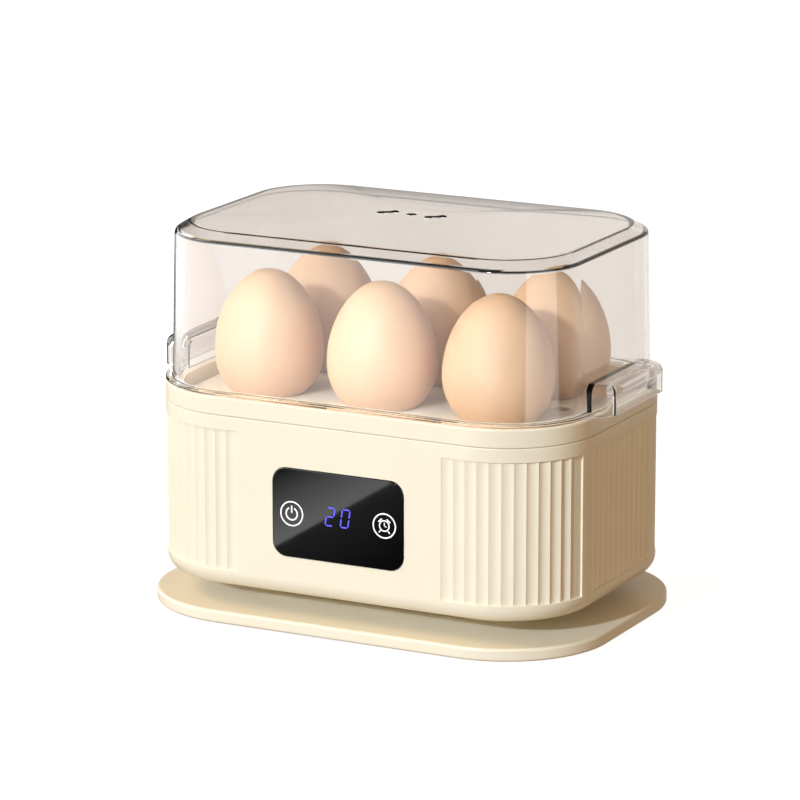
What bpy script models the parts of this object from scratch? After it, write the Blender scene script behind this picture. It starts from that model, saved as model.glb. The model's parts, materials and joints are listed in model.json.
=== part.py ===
"""Six-egg steam cooker, modelled as its separate pieces.

Metres, +Z up.  The origin is at floor level under the middle of the cooker, the control panel faces
-Y and the long side runs along X.  Every piece is one closed solid in its own object.
"""
import math

import bmesh
import bpy
from mathutils import Vector

MM = 0.001
GAP = 0.3 * MM  # left between pieces that touch

# Body: a hollow housing with round vertical corners
BODY_HALF_X = 94.5 * MM
BODY_HALF_Y = 64.8 * MM
BODY_CORNER = 37.9 * MM
BODY_HEIGHT = 71.7 * MM
BODY_WALL = 3.2 * MM
BODY_FILLET = 6.5 * MM
BODY_FLOOR = 2.4 * MM
BODY_LIP = 10.0 * MM  # reach of the floor lip, from the outline inwards

# Flute panels: shallow vertical channels at the corners and on both ends
FLUTE_PITCH = 5.04 * MM
FLUTE_DEPTH = 0.8 * MM
FLUTE_RECESS = 0.3 * MM  # how far the ridges lie under the plain surface
FLUTE_RISE = 7.7 * MM  # from the body's bottom to the channels
FLUTE_DROP = 6.0 * MM  # from the body's top to the channels
FLUTE_LEAD = 10.5 * MM  # run along the front before the corner's arc begins
FLUTE_ARC = 68.0  # degrees of the corner's arc that carry channels
FLUTE_MARGIN_ARC = 78.0  # degrees at which the flat margin beside them ends
END_PANEL_LEAD = 2.5 * MM  # run of the end panel into each corner's arc
FLUTE_STEPS = 4

# Plinth, neck and feet under the body
PLINTH_OVERHANG_X = 5.7 * MM
PLINTH_OVERHANG_Y = 5.0 * MM
PLINTH_CORNER = BODY_CORNER + 7.4 * MM
PLINTH_THICK = 5.35 * MM
PLINTH_EDGE = 1.2 * MM
BODY_LIFT = 8.65 * MM  # open height between the plinth and the body
NECK_HALF_X = 60.0 * MM
NECK_HALF_Y = 34.0 * MM
NECK_CORNER = 20.0 * MM
NECK_WALL = 7.0 * MM
FOOT_RADIUS = 6.0 * MM
FOOT_STANDOFF = 1.4 * MM
FOOT_SOCKET = 1.5 * MM
FOOT_INSET = 22.5 * MM
COVER_THICK = 2.2 * MM
COVER_BOSS_RADIUS = 4.0 * MM
COVER_BOSS_HEIGHT = 8.0 * MM

# Rim ring on top of the body, with the ledge that the tray rests on
RIM_GROOVE = 0.6 * MM
RIM_HEIGHT = 7.1 * MM
RIM_LAND = 7.6 * MM
RIM_EDGE = 0.8 * MM
LEDGE_REACH = 13.0 * MM
LEDGE_THICK = 2.0 * MM
SPIGOT_WALL = 2.0 * MM
SPIGOT_DEPTH = 4.0 * MM

# Egg tray
TRAY_DROP = 5.1 * MM  # from the rim's top to the tray's top
TRAY_THICK = 2.0 * MM
TRAY_RIB = 1.6 * MM
TRAY_RIB_DEPTH = 1.5 * MM
TRAY_CLEAR = 2.5 * MM  # between the tray's edge and the rim, so that it lifts inside the lid
EGG_PITCH_X = 52.0 * MM
EGG_PITCH_Y = 50.4 * MM
EGG_HOLE_RADIUS = 13.6 * MM
EGG_HOLE_CHAMFER = 0.6 * MM
STEAM_HOLE_RADIUS = 3.75 * MM
STEAM_HOLE_X = 67.8 * MM

# Heating plate: a shallow water pan hung under the ledge, with its seal
SEAL_THICK = 1.2 * MM
SEAL_WIDTH = 2.6 * MM
PAN_THICK = 1.5 * MM
PAN_DEPTH = 16.2 * MM
PAN_FLANGE = 12.0 * MM
PAN_TAPER = 1.5 * MM
PAN_FILLET = 2.5 * MM
PAN_SCREW_INSET = 8.2 * MM
PAN_SCREW_X = 40.0 * MM

# Heating element, thermostat and fuse under the pan
ELEMENT_RADIUS = 3.3 * MM
ELEMENT_HALF_X = 55.0 * MM
ELEMENT_HALF_Y = 28.0 * MM
ELEMENT_CORNER = 18.0 * MM
ELEMENT_MOUTH = 9.0 * MM
ELEMENT_TAIL = 9.0 * MM
CLAMP_WIDTH = 8.0 * MM
CLAMP_THICK = 1.5 * MM
CLAMP_X = 27.0 * MM
THERMOSTAT_RADIUS = 9.0 * MM
THERMOSTAT_HEIGHT = 6.5 * MM
FUSE_RADIUS = 2.2 * MM
FUSE_LENGTH = 14.0 * MM
FUSE_Y = 16.0 * MM

# Lid: a clear cover with a foot, a sloped shoulder and a faintly domed top
LID_WALL = 1.9 * MM
LID_ROOF = 2.2 * MM
LID_FOOT_REACH = 2.9 * MM
LID_FOOT_THICK = 1.4 * MM
LID_SHOULDER_RISE = 62.0 * MM
LID_SHOULDER_INSET = 5.2 * MM
LID_SHOULDER_CORNER = BODY_CORNER - 7.5 * MM
LID_TOP_RISE = 65.3 * MM
LID_TOP_INSET = 10.2 * MM
LID_TOP_CORNER = BODY_CORNER - 9.1 * MM
LID_DOME = 2.6 * MM
LID_DOME_SCALES = (0.8, 0.55, 0.3)
LUG_OUT_X = 7.5 * MM  # reach of a handle lug past the body
LUG_HALF_Y = 27.0 * MM
LUG_HEIGHT = 12.4 * MM
LUG_LIFT = 0.2 * MM
LUG_CORNER = 5.4 * MM
LUG_EDGE = 3.5 * MM
LUG_WALL = 1.8 * MM
VENT_RADIUS = 2.15 * MM
VENT_SLOT_X = 10.8 * MM
VENT_SLOT_LENGTH = 10.0 * MM
VENT_SLOT_WIDTH = 3.0 * MM
VENT_SLOT_TURN = 18.0

# Control panel, with the parts behind it
PANEL_WIDTH = 59.1 * MM
PANEL_HEIGHT = 36.9 * MM
PANEL_CORNER = 6.3 * MM
PANEL_RISE = 35.35 * MM  # from the body's bottom to the panel's centre
PANEL_THICK = 1.6 * MM
PANEL_PROUD = 0.4 * MM
WINDOW_WIDTH = 53.0 * MM
WINDOW_HEIGHT = 18.0 * MM
DISPLAY_WIDTH = 24.0 * MM
DISPLAY_HEIGHT = 13.0 * MM
DISPLAY_DEPTH = 5.1 * MM
TOUCH_X = 21.0 * MM
TOUCH_RADIUS = 3.6 * MM
BOARD_THICK = 1.6 * MM
BOARD_WIDTH = PANEL_WIDTH - 2.1 * MM
BOARD_HEIGHT = PANEL_HEIGHT - 2.9 * MM
BOARD_SCREW_INSET = 4.2 * MM
BUZZER_RADIUS = 6.0 * MM
BUZZER_HEIGHT = 5.0 * MM

# Power board on the bottom cover
POWER_LENGTH = 68.0 * MM
POWER_WIDTH = 48.0 * MM
POWER_POST_HEIGHT = 5.1 * MM
POWER_POST_RADIUS = 3.0 * MM
POWER_POST_INSET = 4.0 * MM
TRANSFORMER_SIZE = (22.0 * MM, 18.0 * MM, 16.0 * MM)
RELAY_SIZE = (19.0 * MM, 15.0 * MM, 15.0 * MM)
CAPACITOR_RADIUS = 5.0 * MM
CAPACITOR_HEIGHT = 14.0 * MM

# Power inlet in the back wall
INLET_WIDTH = 25.4 * MM
INLET_HEIGHT = 13.4 * MM
INLET_CORNER = 6.0 * MM
INLET_WALL = 2.2 * MM
INLET_DEPTH = 14.6 * MM
INLET_FLOOR = 3.0 * MM
INLET_FLANGE = 2.4 * MM
INLET_FLANGE_THICK = 2.8 * MM
INLET_RISE = 22.0 * MM
INLET_SHY = 0.2 * MM  # how far its mouth lies inside the body's surface
PIN_RADIUS = 1.1 * MM
PIN_SPACING = 8.6 * MM
PIN_TAIL = 4.0 * MM
PIN_REACH = 7.5 * MM

# Screws
SMALL_SHANK = 1.0 * MM
SMALL_HEAD = 2.0 * MM
SMALL_HEAD_HEIGHT = 1.4 * MM
LARGE_SHANK = 1.5 * MM
LARGE_HEAD = 3.1 * MM
LARGE_HEAD_HEIGHT = 1.8 * MM

# Smoothness of round shapes
CORNER_STEPS = 8
HOLE_STEPS = 20
SMALL_STEPS = 10
CUT_OVER = 2.0 * MM  # how far a cutter runs past the face it cuts

# Heights that follow from the sizes above
PLINTH_BOTTOM = FOOT_STANDOFF
PLINTH_TOP = PLINTH_BOTTOM + PLINTH_THICK
BODY_BOTTOM = PLINTH_TOP + BODY_LIFT
BODY_TOP = BODY_BOTTOM + BODY_HEIGHT
COVER_BOTTOM = BODY_BOTTOM + BODY_FLOOR + GAP
COVER_TOP = COVER_BOTTOM + COVER_THICK
RIM_BOTTOM = BODY_TOP + RIM_GROOVE
RIM_TOP = RIM_BOTTOM + RIM_HEIGHT
TRAY_BOTTOM = RIM_TOP - TRAY_DROP - TRAY_THICK
LEDGE_TOP = TRAY_BOTTOM - GAP
LEDGE_BOTTOM = LEDGE_TOP - LEDGE_THICK
SEAL_TOP = LEDGE_BOTTOM - GAP
PAN_TOP = SEAL_TOP - SEAL_THICK - GAP
PAN_BOTTOM = PAN_TOP - PAN_DEPTH
LID_BOTTOM = RIM_TOP + GAP
PANEL_Z = BODY_BOTTOM + PANEL_RISE
INLET_Z = BODY_BOTTOM + INLET_RISE
POWER_BOTTOM = COVER_TOP + POWER_POST_HEIGHT + GAP

# Depths behind the control panel, measured along -Y from the body's middle
PANEL_FRONT = BODY_HALF_Y + PANEL_PROUD
PANEL_BACK = PANEL_FRONT - PANEL_THICK
BOARD_FRONT = PANEL_BACK - GAP - DISPLAY_DEPTH - GAP
BOARD_BACK = BOARD_FRONT - BOARD_THICK
BOARD_SCREW_X = BOARD_WIDTH / 2 - BOARD_SCREW_INSET
BOARD_SCREW_Z = BOARD_HEIGHT / 2 - BOARD_SCREW_INSET

# Turns that point a piece's own +Z axis another way
TO_FRONT = (math.radians(90), 0, 0)
TO_BACK = (math.radians(-90), 0, 0)
DOWN = (math.radians(180), 0, 0)
UPRIGHT = (0, 0, 0)


def clear_scene():
    """Start from an empty scene."""
    for item in list(bpy.data.objects):
        bpy.data.objects.remove(item, do_unlink=True)


def material(name, color, roughness, metallic=0.0, alpha=1.0):
    """A plain Principled material, made once for each name."""
    if name in bpy.data.materials:
        return bpy.data.materials[name]
    made = bpy.data.materials.new(name)
    made.use_nodes = True
    shader = made.node_tree.nodes["Principled BSDF"]
    shader.inputs["Base Color"].default_value = (*color, 1.0)
    shader.inputs["Roughness"].default_value = roughness
    shader.inputs["Metallic"].default_value = metallic
    shader.inputs["Alpha"].default_value = alpha
    return made


def cream():
    return material("cream_plastic", (0.93, 0.86, 0.71), 0.45)


def clear_plastic():
    return material("clear_plastic", (0.86, 0.83, 0.80), 0.08, alpha=0.3)


def steel():
    return material("steel", (0.72, 0.72, 0.72), 0.3, 1.0)


def black_glass():
    return material("black_glass", (0.012, 0.012, 0.014), 0.08)


def black_plastic():
    return material("black_plastic", (0.03, 0.03, 0.03), 0.5)


def rubber():
    return material("rubber", (0.75, 0.72, 0.66), 0.8)


def silicone():
    return material("silicone", (0.8, 0.78, 0.74), 0.6)


def board():
    return material("circuit_board", (0.05, 0.22, 0.09), 0.5)


def brass():
    return material("brass", (0.78, 0.62, 0.3), 0.3, 1.0)


def ceramic():
    return material("ceramic", (0.85, 0.83, 0.78), 0.6)


def rounded_rect(half_x, half_y, radius, z):
    """A loop with four round corners, counter-clockwise from the front right."""
    loop = []
    for side_x, side_y, start in ((1, -1, -90), (1, 1, 0), (-1, 1, 90), (-1, -1, 180)):
        for step in range(CORNER_STEPS + 1):
            angle = math.radians(start + 90 * step / CORNER_STEPS)
            x = side_x * (half_x - radius) + radius * math.cos(angle)
            y = side_y * (half_y - radius) + radius * math.sin(angle)
            loop.append(Vector((x, y, z)))
    return loop


def body_loop(inset, z):
    """The body's outline, drawn in by inset."""
    return rounded_rect(BODY_HALF_X - inset, BODY_HALF_Y - inset, BODY_CORNER - inset, z)


def circle(radius, z, steps=SMALL_STEPS):
    """A round loop about the Z axis."""
    angles = [math.tau * step / steps for step in range(steps)]
    return [Vector((radius * math.cos(angle), radius * math.sin(angle), z)) for angle in angles]


def quarter_arc(steps):
    """Pairs (sine, 1 - cosine) from 0 to 90 degrees, for fillets."""
    angles = [math.radians(90 * step / steps) for step in range(steps + 1)]
    return [(math.sin(angle), 1 - math.cos(angle)) for angle in angles]


def add_object(name, mesh, look, location=(0, 0, 0), turn=UPRIGHT):
    """Store a bmesh as an object that is smooth where it is round."""
    data = bpy.data.meshes.new(name)
    bmesh.ops.recalc_face_normals(mesh, faces=mesh.faces)
    mesh.to_mesh(data)
    mesh.free()
    data.shade_smooth()
    data.set_sharp_from_angle(angle=math.radians(30))
    if look is not None:
        data.materials.append(look)
    item = bpy.data.objects.new(name, data)
    item.location = location
    item.rotation_euler = turn
    bpy.context.scene.collection.objects.link(item)
    return item


def loft(name, loops, look, location=(0, 0, 0), turn=UPRIGHT, ring=False):
    """Skin a row of equal loops: capped at both ends, or joined end to end as a ring."""
    mesh = bmesh.new()
    rows = [[mesh.verts.new(point) for point in loop] for loop in loops]
    pairs = list(zip(rows, rows[1:]))
    if ring:
        pairs.append((rows[-1], rows[0]))
    for lower, upper in pairs:
        for index in range(len(lower)):
            after = (index + 1) % len(lower)
            mesh.faces.new((lower[index], lower[after], upper[after], upper[index]))
    if not ring:
        mesh.faces.new(rows[0])
        mesh.faces.new(rows[-1])
    return add_object(name, mesh, look, location, turn)


def prism(name, outline, bottom, top, look, location=(0, 0, 0), turn=UPRIGHT):
    """An outline of (x, y) points carried from bottom to top."""
    loops = [[Vector((x, y, z)) for x, y in outline] for z in (bottom, top)]
    return loft(name, loops, look, location, turn)


def turned(name, profile, look, location=(0, 0, 0), turn=UPRIGHT, steps=SMALL_STEPS):
    """A round piece from (radius, z) pairs."""
    loops = [circle(radius, z, steps) for radius, z in profile]
    return loft(name, loops, look, location, turn)


def block(name, size, look, location, turn=UPRIGHT, edge=0.6 * MM):
    """A box that stands on its location, with its upright edges chamfered."""
    half_x = size[0] / 2
    half_y = size[1] / 2
    outline = []
    for side_x, side_y in ((1, -1), (1, 1), (-1, 1), (-1, -1)):
        along = (side_x * half_x, side_y * (half_y - edge))
        across = (side_x * (half_x - edge), side_y * half_y)
        outline += [across, along] if side_x * side_y < 0 else [along, across]
    return prism(name, outline, 0, size[2], look, location, turn)


def combine(target, tool, operation):
    """Cut or add a tool, which is then hidden."""
    step = target.modifiers.new(tool.name, "BOOLEAN")
    step.operation = operation
    step.solver = "EXACT"
    step.object = tool
    tool.hide_render = True
    tool.display_type = "WIRE"


def cut(target, tool):
    combine(target, tool, "DIFFERENCE")


def add(target, tool):
    combine(target, tool, "UNION")


def drill(target, name, radius, location, bottom, top, turn=UPRIGHT, steps=SMALL_STEPS):
    """Cut a round hole from bottom to top along the tool's own axis."""
    profile = [(radius, bottom), (radius, top)]
    cut(target, turned(name, profile, None, location, turn, steps))


def screw(name, location, turn, head, head_height, shank, length):
    """A pan-head screw whose shank runs along +Z from its location."""
    profile = [(head * 0.7, -head_height), (head, -head_height * 0.5), (head, 0), (shank, 0)]
    profile += [(shank, length - shank * 0.6), (shank * 0.5, length)]
    return turned(name, profile, steel(), location, turn)


def corners(x, y):
    """The four mirrored places of a point, with their numbers."""
    places = ((x, -y), (x, y), (-x, y), (-x, -y))
    return list(enumerate(places, start=1))


def outline_at(length, outset):
    """A point on the body's right half, by the run from the front's middle."""
    run_x = BODY_HALF_X - BODY_CORNER
    run_y = BODY_HALF_Y - BODY_CORNER
    arc = BODY_CORNER * math.pi / 2
    quarter = run_x + arc + run_y
    mirrored = length > quarter
    reach = 2 * quarter - length if mirrored else length
    radius = BODY_CORNER + outset
    if reach < run_x:
        x, y = reach, -BODY_HALF_Y - outset
    elif reach < run_x + arc:
        angle = (reach - run_x) / BODY_CORNER
        x = run_x + radius * math.sin(angle)
        y = -run_y - radius * math.cos(angle)
    else:
        x, y = BODY_HALF_X + outset, reach - quarter
    return (x, -y) if mirrored else (x, y)


def flute_panel(name, start, end, flat_end, side, flip):
    """A cutter with a scalloped inner face, from start to end along the outline."""
    count = round((end - start) / FLUTE_PITCH)
    pitch = (end - start) / count
    inner = []
    for flute in range(count):
        for step in range(FLUTE_STEPS):
            part = step / FLUTE_STEPS
            depth = FLUTE_RECESS + FLUTE_DEPTH * (1 - (2 * part - 1) ** 2)
            inner.append((start + (flute + part) * pitch, -depth))
    inner.append((end, -FLUTE_RECESS))
    if flat_end > end:
        inner += [(end + 0.1 * MM, -FLUTE_DEPTH), ((end + flat_end) / 2, -FLUTE_DEPTH)]
        inner.append((flat_end, -FLUTE_DEPTH))
    last = inner[-1][0]
    steps = 3 * CORNER_STEPS
    outer = [(last + (start - last) * step / steps, CUT_OVER) for step in range(steps + 1)]
    outline = [outline_at(length, outset) for length, outset in inner + outer]
    outline = [(side * x, flip * y) for x, y in outline]
    return prism(name, outline, BODY_BOTTOM + FLUTE_RISE, BODY_TOP - FLUTE_DROP, None)


def make_body():
    """The housing: walls, floor lip, flute panels, panel recess, bosses and inlet hole."""
    fillet = [(BODY_FILLET * (1 - rise), BODY_FILLET * drop) for rise, drop in quarter_arc(4)]
    loops = [body_loop(inset, BODY_BOTTOM + height) for inset, height in fillet]
    loops.append(body_loop(0, BODY_TOP))
    loops.append(body_loop(BODY_WALL, BODY_TOP))
    loops.append(body_loop(BODY_WALL, BODY_BOTTOM + BODY_FLOOR))
    loops.append(body_loop(BODY_LIP, BODY_BOTTOM + BODY_FLOOR))
    loops.append(body_loop(BODY_LIP, BODY_BOTTOM))
    body = loft("body_shell", loops, cream(), ring=True)

    run_x = BODY_HALF_X - BODY_CORNER
    start = run_x - FLUTE_LEAD
    end = run_x + BODY_CORNER * math.radians(FLUTE_ARC)
    flat_end = run_x + BODY_CORNER * math.radians(FLUTE_MARGIN_ARC)
    quarter = run_x + BODY_CORNER * math.pi / 2 + BODY_HALF_Y - BODY_CORNER
    reach = BODY_HALF_Y - BODY_CORNER + END_PANEL_LEAD
    for side, side_name in ((1, "right"), (-1, "left")):
        for flip, flip_name in ((1, "front"), (-1, "back")):
            name = f"cut_flutes_{flip_name}_{side_name}"
            cut(body, flute_panel(name, start, end, flat_end, side, flip))
        name = f"cut_flutes_{side_name}"
        cut(body, flute_panel(name, quarter - reach, quarter + reach, 0, side, 1))

    for index, (x, z) in corners(BOARD_SCREW_X, BOARD_SCREW_Z):
        place = (x, -BOARD_FRONT - GAP, PANEL_Z + z)
        length = BODY_HALF_Y - BODY_WALL - BOARD_FRONT + 0.5 * MM
        profile = [(POWER_POST_RADIUS, 0), (POWER_POST_RADIUS, length)]
        add(body, turned(f"add_board_boss_{index}", profile, None, place, TO_FRONT))
        drill(body, f"cut_board_boss_{index}", SMALL_SHANK + GAP, place, -CUT_OVER, 3.2 * MM, TO_FRONT)

    recess = [rounded_rect(PANEL_WIDTH / 2 + GAP, PANEL_HEIGHT / 2 + GAP, PANEL_CORNER, z)
              for z in (0, PANEL_THICK + CUT_OVER)]
    place = (0, -PANEL_BACK + GAP, PANEL_Z)
    cut(body, loft("cut_panel_recess", recess, None, place, TO_FRONT))
    window = [rounded_rect(WINDOW_WIDTH / 2, WINDOW_HEIGHT / 2, 2 * MM, z)
              for z in (-BODY_WALL - CUT_OVER, CUT_OVER)]
    cut(body, loft("cut_window", window, None, place, TO_FRONT))
    hole = [rounded_rect(INLET_WIDTH / 2 + GAP, INLET_HEIGHT / 2 + GAP, INLET_CORNER, z)
            for z in (-BODY_WALL - CUT_OVER, CUT_OVER)]
    cut(body, loft("cut_inlet", hole, None, (0, BODY_HALF_Y, INLET_Z), TO_BACK))


def neck_screws():
    """Places of the four screws that run up through the neck's wall."""
    reach = (NECK_CORNER - NECK_WALL / 2) * math.sin(math.radians(45))
    return corners(NECK_HALF_X - NECK_CORNER + reach, NECK_HALF_Y - NECK_CORNER + reach)


def make_base():
    """Plinth, neck, feet, bottom cover and the screws that hold them together."""
    half_x = BODY_HALF_X + PLINTH_OVERHANG_X
    half_y = BODY_HALF_Y + PLINTH_OVERHANG_Y
    edge = [(PLINTH_EDGE * (1 - rise), PLINTH_EDGE * drop) for rise, drop in quarter_arc(2)]
    profile = [(inset, PLINTH_BOTTOM + height) for inset, height in edge]
    profile += [(inset, PLINTH_TOP - height) for inset, height in reversed(edge)]
    loops = [rounded_rect(half_x - inset, half_y - inset, PLINTH_CORNER - inset, z)
             for inset, z in profile]
    plinth = loft("plinth", loops, cream())

    for index, (x, y) in corners(half_x - FOOT_INSET, half_y - FOOT_INSET):
        top = PLINTH_BOTTOM + FOOT_SOCKET
        drill(plinth, f"cut_foot_{index}", FOOT_RADIUS + GAP, (x, y, 0), 0, top, steps=HOLE_STEPS)
        profile = [(FOOT_RADIUS * 0.9, 0), (FOOT_RADIUS, FOOT_STANDOFF * 0.4), (FOOT_RADIUS, top - GAP)]
        turned(f"foot_{index}", profile, rubber(), (x, y, 0), steps=HOLE_STEPS)

    loops = [rounded_rect(NECK_HALF_X - inset, NECK_HALF_Y - inset, NECK_CORNER - inset, z)
             for inset, z in ((0, PLINTH_TOP + GAP), (0, COVER_BOTTOM - GAP),
                              (NECK_WALL, COVER_BOTTOM - GAP), (NECK_WALL, PLINTH_TOP + GAP))]
    neck = loft("plinth_neck", loops, cream(), ring=True)

    loops = [body_loop(BODY_WALL + GAP, z) for z in (COVER_BOTTOM, COVER_TOP)]
    cover = loft("bottom_cover", loops, cream())
    head_seat = PLINTH_BOTTOM + LARGE_HEAD_HEIGHT + 2 * GAP
    boss_top = COVER_TOP + COVER_BOSS_HEIGHT
    for index, (x, y) in neck_screws():
        place = (x, y, 0)
        drill(plinth, f"cut_head_{index}", LARGE_HEAD + GAP, place, 0, head_seat)
        drill(plinth, f"cut_plinth_{index}", LARGE_SHANK + GAP, place, 0, PLINTH_TOP + CUT_OVER)
        drill(neck, f"cut_neck_{index}", LARGE_SHANK + GAP, place, PLINTH_BOTTOM, BODY_TOP)
        profile = [(COVER_BOSS_RADIUS, COVER_BOTTOM + COVER_THICK / 2), (COVER_BOSS_RADIUS, boss_top)]
        add(cover, turned(f"add_cover_boss_{index}", profile, None, place))
        drill(cover, f"cut_cover_{index}", LARGE_SHANK + GAP, place, 0, boss_top - COVER_THICK)
        length = boss_top - COVER_THICK - GAP - (head_seat - GAP)
        screw(f"plinth_screw_{index}", (x, y, head_seat - GAP), UPRIGHT, LARGE_HEAD,
              LARGE_HEAD_HEIGHT, LARGE_SHANK, length)
    make_power_board(cover)


def make_power_board(cover):
    """The power board on the cover's posts, with its larger components."""
    plate = block("power_board", (POWER_LENGTH, POWER_WIDTH, BOARD_THICK), board(), (0, 0, POWER_BOTTOM))
    post_x = POWER_LENGTH / 2 - POWER_POST_INSET
    post_y = POWER_WIDTH / 2 - POWER_POST_INSET
    hole = SMALL_SHANK + GAP
    top = COVER_TOP + POWER_POST_HEIGHT
    for index, (x, y) in corners(post_x, post_y):
        profile = [(POWER_POST_RADIUS, COVER_BOTTOM + COVER_THICK / 2), (POWER_POST_RADIUS, top)]
        add(cover, turned(f"add_post_{index}", profile, None, (x, y, 0)))
        drill(cover, f"cut_post_{index}", hole, (x, y, 0), COVER_TOP, top + CUT_OVER)
        drill(plate, f"cut_power_{index}", hole, (x, y, POWER_BOTTOM), -CUT_OVER, BOARD_THICK + CUT_OVER)
        head = POWER_BOTTOM + BOARD_THICK + GAP
        screw(f"power_screw_{index}", (x, y, head), DOWN, SMALL_HEAD, SMALL_HEAD_HEIGHT, SMALL_SHANK,
              head - COVER_TOP - GAP)
    parts_z = POWER_BOTTOM + BOARD_THICK + GAP
    block("transformer", TRANSFORMER_SIZE, black_plastic(), (-POWER_LENGTH / 4, 0, parts_z))
    block("relay", RELAY_SIZE, ceramic(), (POWER_LENGTH / 4, -POWER_WIDTH / 6, parts_z))
    profile = [(CAPACITOR_RADIUS, 0), (CAPACITOR_RADIUS, CAPACITOR_HEIGHT - 0.8 * MM)]
    profile.append((CAPACITOR_RADIUS - 0.8 * MM, CAPACITOR_HEIGHT))
    place = (POWER_LENGTH / 4, POWER_WIDTH / 4, parts_z)
    turned("capacitor", profile, black_plastic(), place, steps=HOLE_STEPS)


def make_rim():
    """The ring on top of the body, with the tray's ledge and a spigot inside the walls."""
    spigot_out = BODY_WALL + GAP
    spigot_in = spigot_out + SPIGOT_WALL
    edge = [(RIM_EDGE * drop, RIM_TOP - RIM_EDGE * (1 - rise)) for rise, drop in quarter_arc(2)]
    profile = [(0, RIM_BOTTOM), *edge, (RIM_LAND, RIM_TOP), (RIM_LAND, LEDGE_TOP)]
    profile += [(LEDGE_REACH, LEDGE_TOP), (LEDGE_REACH, LEDGE_BOTTOM), (spigot_in, LEDGE_BOTTOM)]
    profile += [(spigot_in, LEDGE_BOTTOM - SPIGOT_DEPTH), (spigot_out, LEDGE_BOTTOM - SPIGOT_DEPTH)]
    profile.append((spigot_out, RIM_BOTTOM))
    rim = loft("rim_ring", [body_loop(inset, z) for inset, z in profile], cream(), ring=True)

    blind = LEDGE_THICK - 0.7 * MM
    for index, (x, y) in corners(PAN_SCREW_X, BODY_HALF_Y - PAN_SCREW_INSET):
        place = (x, y, LEDGE_BOTTOM)
        drill(rim, f"cut_rim_{index}", SMALL_SHANK + GAP, place, -CUT_OVER / 2, blind)


def make_pan():
    """The heating plate with its seal, screws, element, clamps, thermostat and fuse."""
    outer = BODY_WALL + SPIGOT_WALL + 3 * GAP
    inner = outer + PAN_FLANGE
    floor = PAN_BOTTOM + PAN_THICK
    profile = [(inner + PAN_TAPER + PAN_FILLET, floor), (inner + PAN_TAPER, floor + PAN_FILLET)]
    profile += [(inner, PAN_TOP), (outer, PAN_TOP), (outer, PAN_TOP - PAN_THICK)]
    profile += [(inner - PAN_THICK, PAN_TOP - PAN_THICK)]
    profile += [(inner + PAN_TAPER - PAN_THICK, PAN_BOTTOM + PAN_FILLET + PAN_THICK)]
    profile += [(inner + PAN_TAPER + PAN_FILLET - PAN_THICK / 2, PAN_BOTTOM)]
    pan = loft("heating_plate", [body_loop(inset, z) for inset, z in profile], steel())

    seal = LEDGE_REACH - GAP
    profile = [(seal - SEAL_WIDTH, SEAL_TOP), (seal, SEAL_TOP)]
    profile += [(seal, SEAL_TOP - SEAL_THICK), (seal - SEAL_WIDTH, SEAL_TOP - SEAL_THICK)]
    loft("plate_seal", [body_loop(inset, z) for inset, z in profile], silicone(), ring=True)

    length = LEDGE_BOTTOM + LEDGE_THICK - 1.0 * MM - (PAN_TOP - PAN_THICK - GAP)
    for index, (x, y) in corners(PAN_SCREW_X, BODY_HALF_Y - PAN_SCREW_INSET):
        place = (x, y, PAN_TOP - PAN_THICK)
        drill(pan, f"cut_pan_{index}", SMALL_SHANK + GAP, place, -CUT_OVER, PAN_THICK + CUT_OVER / 2)
        screw(f"plate_screw_{index}", (x, y, PAN_TOP - PAN_THICK - GAP), UPRIGHT, SMALL_HEAD,
              SMALL_HEAD_HEIGHT, SMALL_SHANK, length)
    make_element()


def make_element():
    """The sheathed heating element and what is held against the pan's underside."""
    seat = PAN_BOTTOM - GAP
    z = seat - ELEMENT_RADIUS
    bend = rounded_rect(ELEMENT_HALF_X, ELEMENT_HALF_Y, ELEMENT_CORNER, z)
    quarter = len(bend) // 2
    route = bend[quarter:] + bend[:quarter]
    route = [Vector((-ELEMENT_MOUTH, ELEMENT_HALF_Y, z))] + route
    route.append(Vector((ELEMENT_MOUTH, ELEMENT_HALF_Y, z)))
    tail = Vector((0, ELEMENT_TAIL, 0))
    route = [route[0] + tail] + route + [route[-1] + tail]
    curve = bpy.data.curves.new("heating_element", "CURVE")
    curve.dimensions = "3D"
    curve.bevel_depth = ELEMENT_RADIUS
    curve.bevel_resolution = 2
    curve.use_fill_caps = True
    spline = curve.splines.new("POLY")
    spline.points.add(len(route) - 1)
    for point, place in zip(spline.points, route):
        point.co = (*place, 1)
    curve.materials.append(steel())
    element = bpy.data.objects.new("heating_element", curve)
    bpy.context.scene.collection.objects.link(element)

    drop = 2 * ELEMENT_RADIUS + GAP
    for side, name in ((-1, "left"), (1, "right")):
        half = ELEMENT_HALF_Y + ELEMENT_RADIUS + GAP + CLAMP_THICK
        saddle(f"element_clamp_{name}", half, drop, (side * CLAMP_X, 0, seat), math.radians(90))

    turned("thermostat", [(THERMOSTAT_RADIUS, -THERMOSTAT_HEIGHT), (THERMOSTAT_RADIUS, 0)], ceramic(),
           (0, 0, seat), steps=HOLE_STEPS)
    saddle("thermostat_bracket", THERMOSTAT_RADIUS + GAP + CLAMP_THICK, THERMOSTAT_HEIGHT + GAP,
           (0, 0, seat), 0)
    place = (-FUSE_LENGTH / 2, FUSE_Y, seat - FUSE_RADIUS)
    turned("thermal_fuse", [(FUSE_RADIUS, 0), (FUSE_RADIUS, FUSE_LENGTH)], ceramic(), place,
           (0, math.radians(90), 0))
    saddle("fuse_clip", FUSE_RADIUS + GAP + CLAMP_THICK, 2 * FUSE_RADIUS + GAP, (0, FUSE_Y, seat),
           math.radians(90))


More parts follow.
